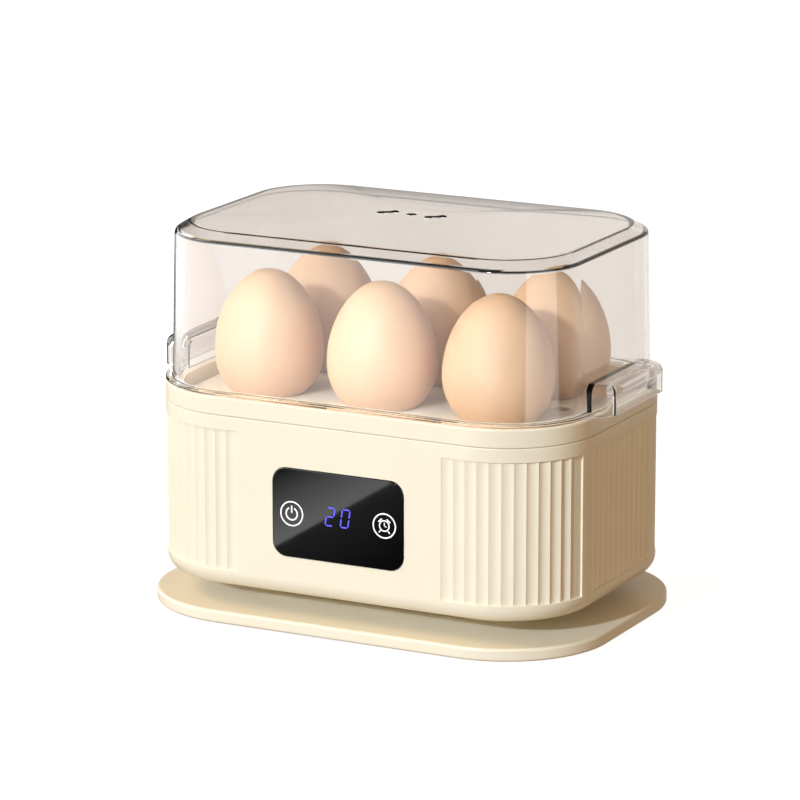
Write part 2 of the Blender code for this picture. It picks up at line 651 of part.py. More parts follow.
def saddle(name, half, drop, place, turn):
    """A strap bent to a U that holds something against the surface above its place."""
    inner = half - CLAMP_THICK
    outline = [(-half, 0), (-half, -drop - CLAMP_THICK), (half, -drop - CLAMP_THICK), (half, 0)]
    outline += [(inner, 0), (inner, -drop), (-inner, -drop), (-inner, 0)]
    loops = [[Vector((x, y, z)) for x, z in outline] for y in (-CLAMP_WIDTH / 2, CLAMP_WIDTH / 2)]
    return loft(name, loops, steel(), place, (0, 0, turn))


def make_tray():
    """The egg tray: a plate with six holes, two steam holes and a locating rib below."""
    edge = RIM_LAND + TRAY_CLEAR
    rib = LEDGE_REACH + GAP
    profile = [(rib + TRAY_RIB, 0), (rib + TRAY_RIB, -TRAY_RIB_DEPTH), (rib, -TRAY_RIB_DEPTH), (rib, 0)]
    profile += [(edge, 0), (edge, TRAY_THICK - 0.4 * MM), (edge + 0.4 * MM, TRAY_THICK)]
    loops = [body_loop(inset, z) for inset, z in profile]
    tray = loft("egg_tray", loops, cream(), (0, 0, TRAY_BOTTOM))
    chamfer = EGG_HOLE_CHAMFER
    for row, y in (("front", -EGG_PITCH_Y / 2), ("back", EGG_PITCH_Y / 2)):
        for column, x in (("left", -EGG_PITCH_X), ("middle", 0), ("right", EGG_PITCH_X)):
            profile = [(EGG_HOLE_RADIUS, -CUT_OVER), (EGG_HOLE_RADIUS, TRAY_THICK - chamfer)]
            profile.append((EGG_HOLE_RADIUS + chamfer + CUT_OVER, TRAY_THICK + CUT_OVER))
            tool = turned(f"cut_egg_{row}_{column}", profile, None, (x, y, TRAY_BOTTOM), steps=HOLE_STEPS)
            cut(tray, tool)
    for side, name in ((-1, "left"), (1, "right")):
        place = (side * STEAM_HOLE_X, 0, TRAY_BOTTOM)
        drill(tray, f"cut_steam_{name}", STEAM_HOLE_RADIUS, place, -CUT_OVER, TRAY_THICK + CUT_OVER)


def lug_loop(inner_x, outer_x, half_y, radius, z):
    """A loop that is square on the lid's side and has round corners outside."""
    loop = [Vector((inner_x, -half_y, z))]
    for side, start in ((-1, -90), (1, 0)):
        for step in range(CORNER_STEPS + 1):
            angle = math.radians(start + 90 * step / CORNER_STEPS)
            x = outer_x - radius + radius * math.cos(angle)
            y = side * (half_y - radius) + radius * math.sin(angle)
            loop.append(Vector((x, y, z)))
    loop.append(Vector((inner_x, half_y, z)))
    return loop


def make_lid():
    """The clear cover with its handle lugs and steam vents; it rests loose on the rim."""
    wall = LID_FOOT_REACH
    top = (BODY_HALF_X - LID_TOP_INSET, BODY_HALF_Y - LID_TOP_INSET)
    shoulder = (BODY_HALF_X - LID_SHOULDER_INSET, BODY_HALF_Y - LID_SHOULDER_INSET)
    slope = LID_WALL / 2
    inner_top = (top[0] - slope, top[1] - slope, LID_TOP_CORNER - slope, LID_TOP_RISE - LID_ROOF)
    inner_shoulder = (shoulder[0] - LID_WALL, shoulder[1] - LID_WALL, LID_SHOULDER_CORNER - LID_WALL,
                      LID_SHOULDER_RISE - slope)
    outer_shoulder = (*shoulder, LID_SHOULDER_CORNER, LID_SHOULDER_RISE)
    outer_top = (*top, LID_TOP_CORNER, LID_TOP_RISE)

    def dome(loop, scale):
        raised = loop[3] + LID_DOME * (1 - scale ** 2)
        return rounded_rect(loop[0] * scale, loop[1] * scale, loop[2] * scale, raised)

    loops = [dome(inner_top, scale) for scale in reversed(LID_DOME_SCALES)]
    loops += [rounded_rect(*inner_top), rounded_rect(*inner_shoulder)]
    loops += [body_loop(wall + LID_WALL, 0), body_loop(0, 0), body_loop(0, LID_FOOT_THICK)]
    loops += [body_loop(wall, LID_FOOT_THICK), rounded_rect(*outer_shoulder), rounded_rect(*outer_top)]
    loops += [dome(outer_top, scale) for scale in LID_DOME_SCALES]
    lid = loft("lid", loops, clear_plastic(), (0, 0, LID_BOTTOM))

    inner_x = BODY_HALF_X - wall - LID_WALL * 0.7
    outer_x = BODY_HALF_X + LUG_OUT_X
    edge = [(LUG_EDGE * drop, LUG_LIFT + LUG_HEIGHT - LUG_EDGE * (1 - rise))
            for rise, drop in quarter_arc(3)]
    for side, name in ((1, 0), (-1, 180)):
        turn = (0, 0, math.radians(name))
        label = "right" if side > 0 else "left"
        loops = [lug_loop(inner_x, outer_x, LUG_HALF_Y, LUG_CORNER, LUG_LIFT)]
        loops += [lug_loop(inner_x, outer_x - inset, LUG_HALF_Y - inset, LUG_CORNER, z)
                  for inset, z in edge]
        add(lid, loft(f"add_lug_{label}", loops, None, (0, 0, LID_BOTTOM), turn))
        pocket_x = BODY_HALF_X - wall + 1.4 * MM
        pocket = [lug_loop(pocket_x, outer_x - LUG_WALL - inset, LUG_HALF_Y - LUG_WALL - inset,
                           LUG_CORNER - LUG_WALL, z - LUG_WALL) for inset, z in edge]
        pocket.insert(0, lug_loop(pocket_x, outer_x - LUG_WALL, LUG_HALF_Y - LUG_WALL,
                                  LUG_CORNER - LUG_WALL, -CUT_OVER))
        cut(lid, loft(f"cut_lug_{label}", pocket, None, (0, 0, LID_BOTTOM), turn))

    roof = LID_BOTTOM + LID_TOP_RISE
    drill(lid, "cut_vent", VENT_RADIUS, (0, 0, roof), -LID_ROOF, LID_DOME + CUT_OVER, steps=HOLE_STEPS)
    half_width = VENT_SLOT_WIDTH / 2
    for side, name in ((-1, "left"), (1, "right")):
        slot = [rounded_rect(half_width, VENT_SLOT_LENGTH / 2, half_width * 0.95, z)
                for z in (-LID_ROOF, LID_DOME + CUT_OVER)]
        turn = (0, 0, -math.radians(VENT_SLOT_TURN))
        cut(lid, loft(f"cut_vent_{name}", slot, None, (side * VENT_SLOT_X, 0, roof), turn))


def make_panel():
    """The touch glass, the display and the control board behind it."""
    half_x = PANEL_WIDTH / 2
    half_z = PANEL_HEIGHT / 2
    chamfer = 0.4 * MM
    loops = [rounded_rect(half_x - inset, half_z - inset, PANEL_CORNER - inset, z)
             for inset, z in ((0, 0), (0, PANEL_THICK - chamfer), (chamfer, PANEL_THICK))]
    loft("control_glass", loops, black_glass(), (0, -PANEL_BACK, PANEL_Z), TO_FRONT)

    back = (0, -BOARD_FRONT - GAP, PANEL_Z)
    size = (DISPLAY_WIDTH, DISPLAY_HEIGHT, DISPLAY_DEPTH)
    block("display_module", size, black_plastic(), back, TO_FRONT)
    for side, name in ((-1, "left"), (1, "right")):
        place = (side * TOUCH_X, back[1], PANEL_Z)
        turned(f"touch_pad_{name}", [(TOUCH_RADIUS, 0), (TOUCH_RADIUS, DISPLAY_DEPTH)], black_plastic(),
               place, TO_FRONT)

    place = (0, -BOARD_BACK, PANEL_Z)
    size = (BOARD_WIDTH, BOARD_HEIGHT, BOARD_THICK)
    plate = block("control_board", size, board(), place, TO_FRONT)
    for index, (x, z) in corners(BOARD_SCREW_X, BOARD_SCREW_Z):
        hole = (x, -BOARD_BACK, PANEL_Z + z)
        drill(plate, f"cut_board_{index}", SMALL_SHANK + GAP, hole, -CUT_OVER, BOARD_THICK + CUT_OVER,
              TO_FRONT)
        head = (x, -BOARD_BACK + GAP, PANEL_Z + z)
        screw(f"board_screw_{index}", head, TO_FRONT, SMALL_HEAD, SMALL_HEAD_HEIGHT, SMALL_SHANK,
              BOARD_THICK + 2 * GAP + 2.5 * MM)
    profile = [(BUZZER_RADIUS, -BUZZER_HEIGHT), (BUZZER_RADIUS, 0)]
    turned("buzzer", profile, black_plastic(), (0, -BOARD_BACK + GAP, PANEL_Z), TO_FRONT, HOLE_STEPS)


def make_inlet():
    """The power inlet in the back wall and its two contact pins."""
    half_x = INLET_WIDTH / 2
    half_z = INLET_HEIGHT / 2
    flange_top = INLET_DEPTH + INLET_SHY - BODY_WALL - GAP
    flange_bottom = flange_top - INLET_FLANGE_THICK
    profile = [(0, 0), (0, flange_bottom), (-INLET_FLANGE, flange_bottom), (-INLET_FLANGE, flange_top)]
    profile += [(0, flange_top), (0, INLET_DEPTH), (INLET_WALL, INLET_DEPTH), (INLET_WALL, INLET_FLOOR)]
    loops = [rounded_rect(half_x - inset, half_z - inset, INLET_CORNER - inset, z) for inset, z in profile]
    start = BODY_HALF_Y - INLET_SHY - INLET_DEPTH
    socket = loft("power_inlet", loops, black_plastic(), (0, start, INLET_Z), TO_BACK)
    for side, name in ((-1, "left"), (1, "right")):
        place = (side * PIN_SPACING / 2, start, INLET_Z)
        drill(socket, f"cut_pin_{name}", PIN_RADIUS + GAP, place, -CUT_OVER, INLET_FLOOR + CUT_OVER, TO_BACK)
        profile = [(PIN_RADIUS, -PIN_TAIL), (PIN_RADIUS, INLET_FLOOR + PIN_REACH - 0.6 * MM)]
        profile.append((PIN_RADIUS * 0.6, INLET_FLOOR + PIN_REACH))
        turned(f"inlet_pin_{name}", profile, brass(), place, TO_BACK)


clear_scene()
make_base()
make_body()
make_rim()
make_pan()
make_tray()
make_lid()
make_panel()
make_inlet()
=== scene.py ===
import json
import math
import bmesh
import bpy
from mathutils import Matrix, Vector


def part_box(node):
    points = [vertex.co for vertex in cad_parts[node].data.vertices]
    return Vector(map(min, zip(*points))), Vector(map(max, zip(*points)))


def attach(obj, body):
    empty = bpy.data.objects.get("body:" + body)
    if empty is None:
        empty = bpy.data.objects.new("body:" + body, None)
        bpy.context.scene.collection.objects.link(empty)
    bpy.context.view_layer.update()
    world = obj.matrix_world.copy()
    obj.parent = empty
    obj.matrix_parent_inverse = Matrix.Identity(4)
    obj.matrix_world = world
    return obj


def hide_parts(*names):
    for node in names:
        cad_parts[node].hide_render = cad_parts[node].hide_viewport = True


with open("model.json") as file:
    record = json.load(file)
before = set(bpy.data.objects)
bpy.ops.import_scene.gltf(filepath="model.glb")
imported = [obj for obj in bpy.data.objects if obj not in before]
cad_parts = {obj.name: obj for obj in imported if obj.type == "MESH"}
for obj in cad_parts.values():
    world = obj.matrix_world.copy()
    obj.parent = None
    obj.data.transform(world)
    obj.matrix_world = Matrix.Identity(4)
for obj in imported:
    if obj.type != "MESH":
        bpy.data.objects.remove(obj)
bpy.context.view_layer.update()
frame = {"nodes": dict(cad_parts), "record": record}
nodes = frame["nodes"]

MM = 0.001
DEGREES = 180 / math.pi

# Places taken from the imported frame
BODY_LOW, BODY_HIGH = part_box("body_shell")
RIM_LOW, RIM_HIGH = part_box("rim_ring")
TRAY_LOW, TRAY_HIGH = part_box("egg_tray")
PLINTH_LOW, PLINTH_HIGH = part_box("plinth")
LID_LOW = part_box("lid")[0]
GLASS_LOW, GLASS_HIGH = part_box("control_glass")
INLET_LOW, INLET_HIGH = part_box("power_inlet")

# Housing
HALF_X = BODY_HIGH.x
HALF_Y = BODY_HIGH.y
CORNER = 37.9 * MM
WALL = 3.2 * MM
FILLET = 6.5 * MM
FLOOR = 2.4 * MM
LIP = 10.0 * MM
BODY_BOTTOM = BODY_LOW.z
BODY_TOP = BODY_HIGH.z
RUN_X = HALF_X - CORNER
RUN_Y = HALF_Y - CORNER
ARC = CORNER * math.pi / 2
QUARTER = RUN_X + ARC + RUN_Y
TOP_EDGE = 0.5 * MM
CUT_OVER = 3 * MM
FIT_GAP = 0.15 * MM
WINDOW_HALF = (26.5 * MM, 9.0 * MM)
WINDOW_CORNER = 2 * MM
INLET_HALF = (12.7 * MM, 6.7 * MM)
INLET_CORNER = 6.0 * MM
HOLE_DEPTH = 6 * MM

# Flutes
FLUTE_DEPTH = 0.8 * MM
FLUTE_RECESS = 0.3 * MM
FLUTE_BOTTOM = BODY_BOTTOM + 7.7 * MM
FLUTE_TOP = BODY_TOP - 6.0 * MM
FLUTE_START = RUN_X - 10.5 * MM
FLUTE_END = RUN_X + CORNER * math.radians(68)
MARGIN_END = RUN_X + CORNER * math.radians(78)
END_START = QUARTER - RUN_Y - 2.5 * MM
CORNER_FLUTES = 11
END_FLUTES = 6  # on each side of the end's middle
STEPS_IN_FLUTE = 8
EDGE_RUN = 0.12 * MM
END_RAMP = 0.3 * MM
PLAIN_PITCH = 6 * MM
MARGIN_PITCH = 1.5 * MM

# Plinth
PLINTH_EDGE = 1.2 * MM
PLINTH_CORNER = CORNER + 7.4 * MM
PLINTH_STEPS = 28
FOOT_SOCKET = 6.1 * MM
FOOT_GAP = 0.1 * MM
SCREW_HEAD = 3.25 * MM
SCREW_HEAD_RISE = 1.9 * MM
SCREW_HOLE = 1.7 * MM
BELOW_FLOOR = -1 * MM

# Rim ring
RIM_GROOVE = 0.3 * MM
RIM_SEAT = BODY_TOP + 0.02 * MM
RIM_FIT = WALL + 0.1 * MM
RIM_EDGE = 0.8 * MM
RIM_SKIRT = 5.3 * MM
LEDGE_THICK = 2.0 * MM

# Lid
LID_BOTTOM = LID_LOW.z
LID_WALL = 1.9 * MM
LID_ROOF = 0.95 * MM
ROOF_INSET = 1.66 * MM
SHOULDER_DROP = 0.78 * MM
FOOT_REACH = 2.9 * MM
FOOT_THICK = 1.4 * MM
SHOULDER = (HALF_X - 5.2 * MM, HALF_Y - 5.2 * MM, CORNER - 7.5 * MM, 62.0 * MM)
PLATEAU = (HALF_X - 10.2 * MM, HALF_Y - 10.2 * MM, CORNER - 9.1 * MM, 65.3 * MM)
DOME = 2.6 * MM
DOME_SCALES = (0.9905, 0.97, 0.93, 0.86, 0.78, 0.69, 0.59, 0.48, 0.37, 0.26, 0.16)
LUG_OUT = HALF_X + 7.5 * MM
LUG_HALF_Y = 27.0 * MM
LUG_HEIGHT = 12.4 * MM
LUG_LIFT = 0.2 * MM
LUG_CORNER = 5.4 * MM
LUG_EDGE = 3.5 * MM
LUG_WALL = 1.8 * MM
VENT_RADIUS = 2.15 * MM
VENT_SLOT_X = 10.8 * MM
VENT_SLOT_HALF = 5.0 * MM
VENT_SLOT_WIDTH = 3.0 * MM
VENT_SLOT_TURN = math.radians(18)
VENT_BEND = 1.5 * MM

# Tray and eggs
PLATE = 2.0 * MM
PLATE_EDGE = 0.5 * MM
RIB_DEPTH = 1.5 * MM
RIB_WALL = 1.6 * MM
SLIDE_GAP = 0.1 * MM
LAND = 7.6 * MM
LEDGE_REACH = 13.0 * MM
EGG_PITCH = (52.0 * MM, 50.4 * MM)
EGG_HOLE = 13.6 * MM
STEAM_HOLE = 3.75 * MM
STEAM_X = 67.8 * MM
EGG_BOTTOM = TRAY_LOW.z - 2.9 * MM
EGG_RADIUS = 22.5 * MM
EGG_LOWER = 23.6 * MM
EGG_UPPER = 33.4 * MM
EGG_RINGS = 40
EGG_NARROWING = 0.07
EGG_WARMTH = (1.0, 1.03, 0.97, 0.95, 0.99, 0.96)

# Control panel
GLASS_CORNER = 6.3 * MM
GLASS_EDGE = 0.4 * MM
GLASS_BEVEL = 0.1 * MM
MARK_DEPTHS = (0.005 * MM, 0.05 * MM)
RING_RADIUS = 4.95 * MM
RING_WIDTH = 0.58 * MM
DIGIT_HALF_X = 1.72 * MM
DIGIT_HALF_Z = 3.7 * MM
DIGIT_WIDTH = 0.52 * MM
DIGIT_GAP = 0.28 * MM
DIGIT_LEAN = math.tan(math.radians(8))

# Studio
FLOOR_REACH = 20.0
CARD_RISE = 0.5 * MM
CARD_NEAR = (-0.0868, -0.11)
CARD_FAR = (-0.0984, -0.42)
CARD_SIDES = (-0.40, 0.10)
WHITE = (1.0, 1.0, 1.0)
PANEL_GLOW = (3.1, 3.25, 3.4)
ROOM_DARK = (0.05, 0.045, 0.04)
BACK_NEAR = (0.66, 0.61, 0.57)
BACK_FAR = (0.86, 0.82, 0.79)
AMBIENT_LEFT = (0.40, 0.27, 0.16)
AMBIENT_RIGHT = (0.20, 0.11, 0.05)
AMBIENT_TOP = (0.32, 0.22, 0.12)
AMBIENT_CORNER = (0.90, 0.70, 0.48)
VIEW_TARGET = (0, 0, 0.0734)
VIEW_DIRECTION = (0.4407, -0.8637, 0.2446)
VIEW_DISTANCE = 1.8732

STEPS = 20  # of a corner's arc
LID_STEPS = 24
ROUND_STEPS = 48
SMALL_HOLE_STEPS = 32
MERGE = 1e-7
GRAIN_DEPTH = 0.1 * MM
SHARP = math.radians(30)
PIECES = []


# ---------------------------------------------------------------- shapes

def rounded(half_x, half_y, radius, z, steps=STEPS):
    """A loop with four round corners, counter-clockwise from the front right."""
    loop = []
    for side_x, side_y, start in ((1, -1, -90), (1, 1, 0), (-1, 1, 90), (-1, -1, 180)):
        for step in range(steps + 1):
            angle = math.radians(start + 90 * step / steps)
            x = side_x * (half_x - radius) + radius * math.cos(angle)
            y = side_y * (half_y - radius) + radius * math.sin(angle)
            loop.append(Vector((x, y, z)))
    return loop


def body_loop(inset, z):
    """The body's outline, drawn in by inset."""
    return rounded(HALF_X - inset, HALF_Y - inset, CORNER - inset, z)


def circle(radius, z, steps=ROUND_STEPS):
    """A round loop about the Z axis."""
    angles = [math.tau * step / steps for step in range(steps)]
    return [Vector((radius * math.cos(a), radius * math.sin(a), z)) for a in angles]


def quarter_arc(steps):
    """Pairs (sine, 1 - cosine) from 0 to 90 degrees, for fillets."""
    angles = [math.radians(90 * step / steps) for step in range(steps + 1)]
    return [(math.sin(a), 1 - math.cos(a)) for a in angles]


def soften(rows, reach, steps=4):
    """Round the inner corners of a row of profile tuples, each by up to its reach."""
    result = [rows[0]]
    for before, here, after, cut_off in zip(rows, rows[1:], rows[2:], reach):
        if cut_off <= 0:
            result.append(here)
            continue
        start = toward(here, before, cut_off)
        end = toward(here, after, cut_off)
        for step in range(steps + 1):
            part = step / steps
            result.append(tuple((1 - part) ** 2 * a + 2 * part * (1 - part) * b + part ** 2 * c
                                for a, b, c in zip(start, here, end)))
    result.append(rows[-1])
    return result


def toward(here, other, distance):
    """The profile tuple at most half way from here to another, by its first and last value."""
    length = math.hypot(other[0] - here[0], other[-1] - here[-1])
    part = min(0.45, distance / length)
    return tuple(a + (b - a) * part for a, b in zip(here, other))


def add_mesh(name, mesh, look, body, slot=None, *replaced):
    """Store a bmesh as a smooth piece with sharp edges, and make it ride on its body."""
    bmesh.ops.remove_doubles(mesh, verts=mesh.verts, dist=MERGE)
    bmesh.ops.recalc_face_normals(mesh, faces=mesh.faces)
    data = bpy.data.meshes.new(name)
    mesh.to_mesh(data)
    mesh.free()
    finish_mesh(data)
    if look:
        data.materials.append(look)
    item = bpy.data.objects.new(name, data)
    bpy.context.scene.collection.objects.link(item)
    PIECES.append(item)
    if body:
        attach(item, body)
    if replaced:
        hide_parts(*replaced)
    return item


def finish_mesh(data):
    """Smooth faces, with sharp edges kept."""
    data.shade_smooth()
    data.set_sharp_from_angle(angle=SHARP)


def even_normals():
    """Keep flat faces flat beside their rounded edges, on every new piece."""
    for item in PIECES:
        step = item.modifiers.new("normals", "WEIGHTED_NORMAL")
        step.keep_sharp = True
        step.weight = 100


def skin(mesh, loops, ring=False):
    """Faces between a row of equal loops, capped or joined end to end."""
    rows = [[mesh.verts.new(point) for point in loop] for loop in loops]
    pairs = list(zip(rows, rows[1:]))
    if ring:
        pairs.append((rows[-1], rows[0]))
    for lower, upper in pairs:
        for index in range(len(lower)):
            after = (index + 1) % len(lower)
            mesh.faces.new((lower[index], lower[after], upper[after], upper[index]))
    if not ring:
        mesh.faces.new(rows[0])
        mesh.faces.new(rows[-1])


def loft(loops, ring=False):
    """A new closed mesh through a row of loops."""
    mesh = bmesh.new()
    skin(mesh, loops, ring)
    return mesh


def front_loop(loop, centre_z):
    """A loop drawn flat, stood up to face the front; its Z becomes depth towards the front."""
    return [Vector((point.x, -point.z, centre_z + point.y)) for point in loop]


def combine(target, tool_mesh, operation="DIFFERENCE"):
    """Apply one exact Boolean to a piece and delete the tool."""
    bmesh.ops.recalc_face_normals(tool_mesh, faces=tool_mesh.faces)
    data = bpy.data.meshes.new("tool")
    tool_mesh.to_mesh(data)
    tool_mesh.free()
    tool = bpy.data.objects.new("tool", data)
    bpy.context.scene.collection.objects.link(tool)
    step = target.modifiers.new("cut", "BOOLEAN")
    step.operation = operation
    step.solver = "EXACT"
    step.object = tool
    bpy.context.view_layer.update()
    solved = target.evaluated_get(bpy.context.evaluated_depsgraph_get())
    result = bpy.data.meshes.new_from_object(solved)
    target.modifiers.remove(step)
    old = target.data
    target.data = result
    bpy.data.meshes.remove(old)
    bpy.data.objects.remove(tool)
    bpy.data.meshes.remove(data)
    finish_mesh(result)
    result.name = target.name


def moved(loop, x=0.0, y=0.0, turn=0.0):
    """A loop turned about Z and then shifted."""
    cosine, sine = math.cos(turn), math.sin(turn)
    return [Vector((cosine * p.x - sine * p.y + x, sine * p.x + cosine * p.y + y, p.z))
            for p in loop]


# ---------------------------------------------------------------- materials

def start_look(name):
    """A new node material and its shader."""
    look = bpy.data.materials.new(name)
    look.use_nodes = True
    return look, look.node_tree, look.node_tree.nodes["Principled BSDF"]


def add_node(tree, kind, inputs=(), **settings):
    """A node with plain settings, and input values by name."""
    item = tree.nodes.new(kind)
    for key, value in settings.items():
        setattr(item, key, value)
    for key, value in dict(inputs).items():
        item.inputs[key].default_value = value
    return item


def blend_step(tree, value, low, high):
    """0 below low and 1 above high, with a smooth change between."""
    item = add_node(tree, "ShaderNodeMapRange", {"From Min": low, "From Max": high},
                    interpolation_type="SMOOTHSTEP")
    tree.links.new(value, item.inputs["Value"])
    return item.outputs[0]


def calculate(tree, operation, *values):
    """A Math node on numbers or sockets."""
    item = add_node(tree, "ShaderNodeMath", operation=operation)
    for index, value in enumerate(values):
        if isinstance(value, (int, float)):
            item.inputs[index].default_value = value
        else:
            tree.links.new(value, item.inputs[index])
    return item.outputs[0]


def band(tree, value, low, high, soft):
    """1 between low and high, soft at both ends."""
    rising = blend_step(tree, value, low - soft, low + soft)
    falling = blend_step(tree, value, high - soft, high + soft)
    return calculate(tree, "SUBTRACT", rising, falling)


def mix_color(tree, factor, first, second):
    """Colours or sockets mixed by a socket."""
    item = add_node(tree, "ShaderNodeMix", data_type="RGBA")
    tree.links.new(factor, item.inputs[0])
    for index, value in ((6, first), (7, second)):
        if isinstance(value, tuple):
            item.inputs[index].default_value = (*value, 1)
        else:
            tree.links.new(value, item.inputs[index])
    return item.outputs[2]


def spots(tree, scale, detail=3.0, roughness=0.55, stretch=(1, 1, 1)):
    """Noise in the object's own space, with its Fac output."""
    place = add_node(tree, "ShaderNodeTexCoord")
    turn = add_node(tree, "ShaderNodeMapping", {"Scale": stretch})
    pattern = add_node(tree, "ShaderNodeTexNoise",
                       {"Scale": scale, "Detail": detail, "Roughness": roughness})
    tree.links.new(place.outputs["Object"], turn.inputs["Vector"])
    tree.links.new(turn.outputs["Vector"], pattern.inputs["Vector"])
    return pattern.outputs[0]


def ramp(tree, factor, low, high, start=0.3, end=0.7):
    """Colours from low to high across part of a 0 to 1 factor."""
    item = add_node(tree, "ShaderNodeValToRGB")
    item.color_ramp.elements[0].position = start
    item.color_ramp.elements[0].color = (*low, 1)
    item.color_ramp.elements[1].position = end
    item.color_ramp.elements[1].color = (*high, 1)
    tree.links.new(factor, item.inputs[0])
    return item.outputs[0]


def spread(tree, factor, low, high):
    """A 0 to 1 factor mapped to a range, for roughness."""
    item = add_node(tree, "ShaderNodeMapRange",
                    {"From Min": 0.25, "From Max": 0.75, "To Min": low, "To Max": high})
    tree.links.new(factor, item.inputs["Value"])
    return item.outputs[0]


def bump(tree, height, strength, distance):
    """A Normal output from a height."""
    item = add_node(tree, "ShaderNodeBump", {"Strength": strength, "Distance": distance})
    tree.links.new(height, item.inputs["Height"])
    return item.outputs[0]


def tinted(color, change):
    """A colour and its lighter partner, either side of it."""
    return ([c * (1 - change) for c in color], [min(1, c * (1 + change)) for c in color])


def moulded(name, color, change, rough, grain, scale=45.0,
            metallic=0.0, stretch=(1, 1, 1)):
    """Plain material with faint uneven colour and gloss, and a fine grain."""
    look, tree, shader = start_look(name)
    low, high = tinted(color, change)
    blotch = spots(tree, scale, stretch=stretch)
    tree.links.new(ramp(tree, blotch, low, high), shader.inputs["Base Color"])
    tree.links.new(spread(tree, spots(tree, scale * 3.1, stretch=stretch), *rough),
                   shader.inputs["Roughness"])
    fine = spots(tree, scale * 40, 2.0, stretch=stretch)
    tree.links.new(bump(tree, fine, grain, GRAIN_DEPTH), shader.inputs["Normal"])
    shader.inputs["Metallic"].default_value = metallic
    return look


def lid_plastic():
    """Clear, faintly smoky plastic that lets lamps through, with painted dark lines on its two
    moulded edges.
    """
    look, tree, shader = start_look("lid_clear_plastic")
    haze = spots(tree, 60.0)
    tint = ramp(tree, haze, (0.835, 0.805, 0.78), (0.855, 0.825, 0.80))
    # Painted shade: the edge mark turns the colour near black, standing in for the dark refraction
    # and reflection seen at the moulded edges.
    edge = add_node(tree, "ShaderNodeAttribute", attribute_name="edge")
    tint = mix_color(tree, edge.outputs["Fac"], tint, (0.001, 0.001, 0.001))
    tree.links.new(tint, shader.inputs["Base Color"])
    tree.links.new(spread(tree, spots(tree, 130.0), 0.0, 0.012), shader.inputs["Roughness"])
    shader.inputs["Transmission Weight"].default_value = 1.0
    shader.inputs["IOR"].default_value = 1.49
    through = add_node(tree, "ShaderNodeBsdfTransparent", {"Color": (0.875, 0.855, 0.84, 1)})
    path = add_node(tree, "ShaderNodeLightPath")
    mixer = add_node(tree, "ShaderNodeMixShader")
    output = tree.nodes["Material Output"]
    tree.links.new(path.outputs["Is Shadow Ray"], mixer.inputs[0])
    tree.links.new(shader.outputs[0], mixer.inputs[1])
    tree.links.new(through.outputs[0], mixer.inputs[2])
    tree.links.new(mixer.outputs[0], output.inputs["Surface"])
    return look


def black_gloss():
    """Polished black glass with a faint uneven depth."""
    look, tree, shader = start_look("panel_black_glass")
    shade = ramp(tree, spots(tree, 30.0), (0.0016, 0.0016, 0.0018), (0.0032, 0.0031, 0.0031))
    tree.links.new(shade, shader.inputs["Base Color"])
    tree.links.new(spread(tree, spots(tree, 90.0), 0.03, 0.06), shader.inputs["Roughness"])
    shader.inputs["IOR"].default_value = 1.5
    return look


def glowing(name, color, strength):
    """A printed or lit mark with a faintly uneven glow."""
    look, tree, shader = start_look(name)
    low, high = tinted(color, 0.05)
    shade = ramp(tree, spots(tree, 400.0), low, high)
    tree.links.new(shade, shader.inputs["Base Color"])
    tree.links.new(shade, shader.inputs["Emission Color"])
    shader.inputs["Emission Strength"].default_value = strength
    shader.inputs["Roughness"].default_value = 0.5
    return look


def egg_look(index, warm):
    """Brown eggshell: soft blotches, small speckles and pores."""
    look, tree, shader = start_look(f"eggshell_{index}")
    color = (0.65 * warm, 0.415 * warm, 0.25 * warm)
    low, high = tinted(color, 0.05)
    blotch = ramp(tree, spots(tree, 55.0 + index * 3, 4.0), low, high)
    speck = spots(tree, 420.0 + index * 11, 2.0, 0.7)
    mask = add_node(tree, "ShaderNodeMapRange",
                    {"From Min": 0.66, "From Max": 0.72, "To Max": 0.2})
    tree.links.new(speck, mask.inputs["Value"])
    dark = (color[0] * 0.72, color[1] * 0.62, color[2] * 0.5)
    tree.links.new(mix_color(tree, mask.outputs[0], blotch, dark), shader.inputs["Base Color"])
    tree.links.new(spread(tree, spots(tree, 200.0), 0.5, 0.62), shader.inputs["Roughness"])
    pores = spots(tree, 1500.0, 2.0)
    tree.links.new(bump(tree, pores, 0.03, GRAIN_DEPTH), shader.inputs["Normal"])
    return look


def board_look():
    """Green circuit board with copper tracks under the lacquer."""
    look, tree, shader = start_look("board_green")
    place = add_node(tree, "ShaderNodeTexCoord")
    greens = {"Color1": (0.03, 0.16, 0.06, 1), "Color2": (0.02, 0.12, 0.05, 1),
              "Mortar": (0.07, 0.25, 0.09, 1)}
    bricks = add_node(tree, "ShaderNodeTexBrick", {"Scale": 260.0, "Mortar Size": 0.06, **greens})
    tree.links.new(place.outputs["Object"], bricks.inputs["Vector"])
    tree.links.new(bricks.outputs[0], shader.inputs["Base Color"])
    tree.links.new(spread(tree, spots(tree, 90.0), 0.3, 0.5), shader.inputs["Roughness"])
    return look


CREAM = moulded("cream_abs", (0.885, 0.812, 0.655), 0.012, (0.34, 0.42), 0.02)
CREAM_TRAY = moulded("cream_pp_tray", (0.79, 0.71, 0.59), 0.015, (0.4, 0.5), 0.03)
CLEAR = lid_plastic()
BLACK_GLASS = black_gloss()
STEEL = moulded("brushed_steel", (0.62, 0.61, 0.59), 0.06, (0.22, 0.38), 0.1, 60.0, 1.0,
                stretch=(1, 14, 1))
SHEATH = moulded("element_sheath", (0.30, 0.28, 0.26), 0.15, (0.35, 0.55), 0.2, 80.0, 1.0)
RUBBER = moulded("foot_rubber", (0.62, 0.58, 0.50), 0.05, (0.75, 0.85), 0.2, 120.0)
SILICONE = moulded("seal_silicone", (0.74, 0.72, 0.68), 0.03, (0.5, 0.6), 0.05)
BLACK = moulded("black_plastic", (0.018, 0.018, 0.019), 0.1, (0.38, 0.5), 0.12, 90.0)
CERAMIC = moulded("ceramic_white", (0.78, 0.76, 0.70), 0.04, (0.45, 0.6), 0.1, 90.0)
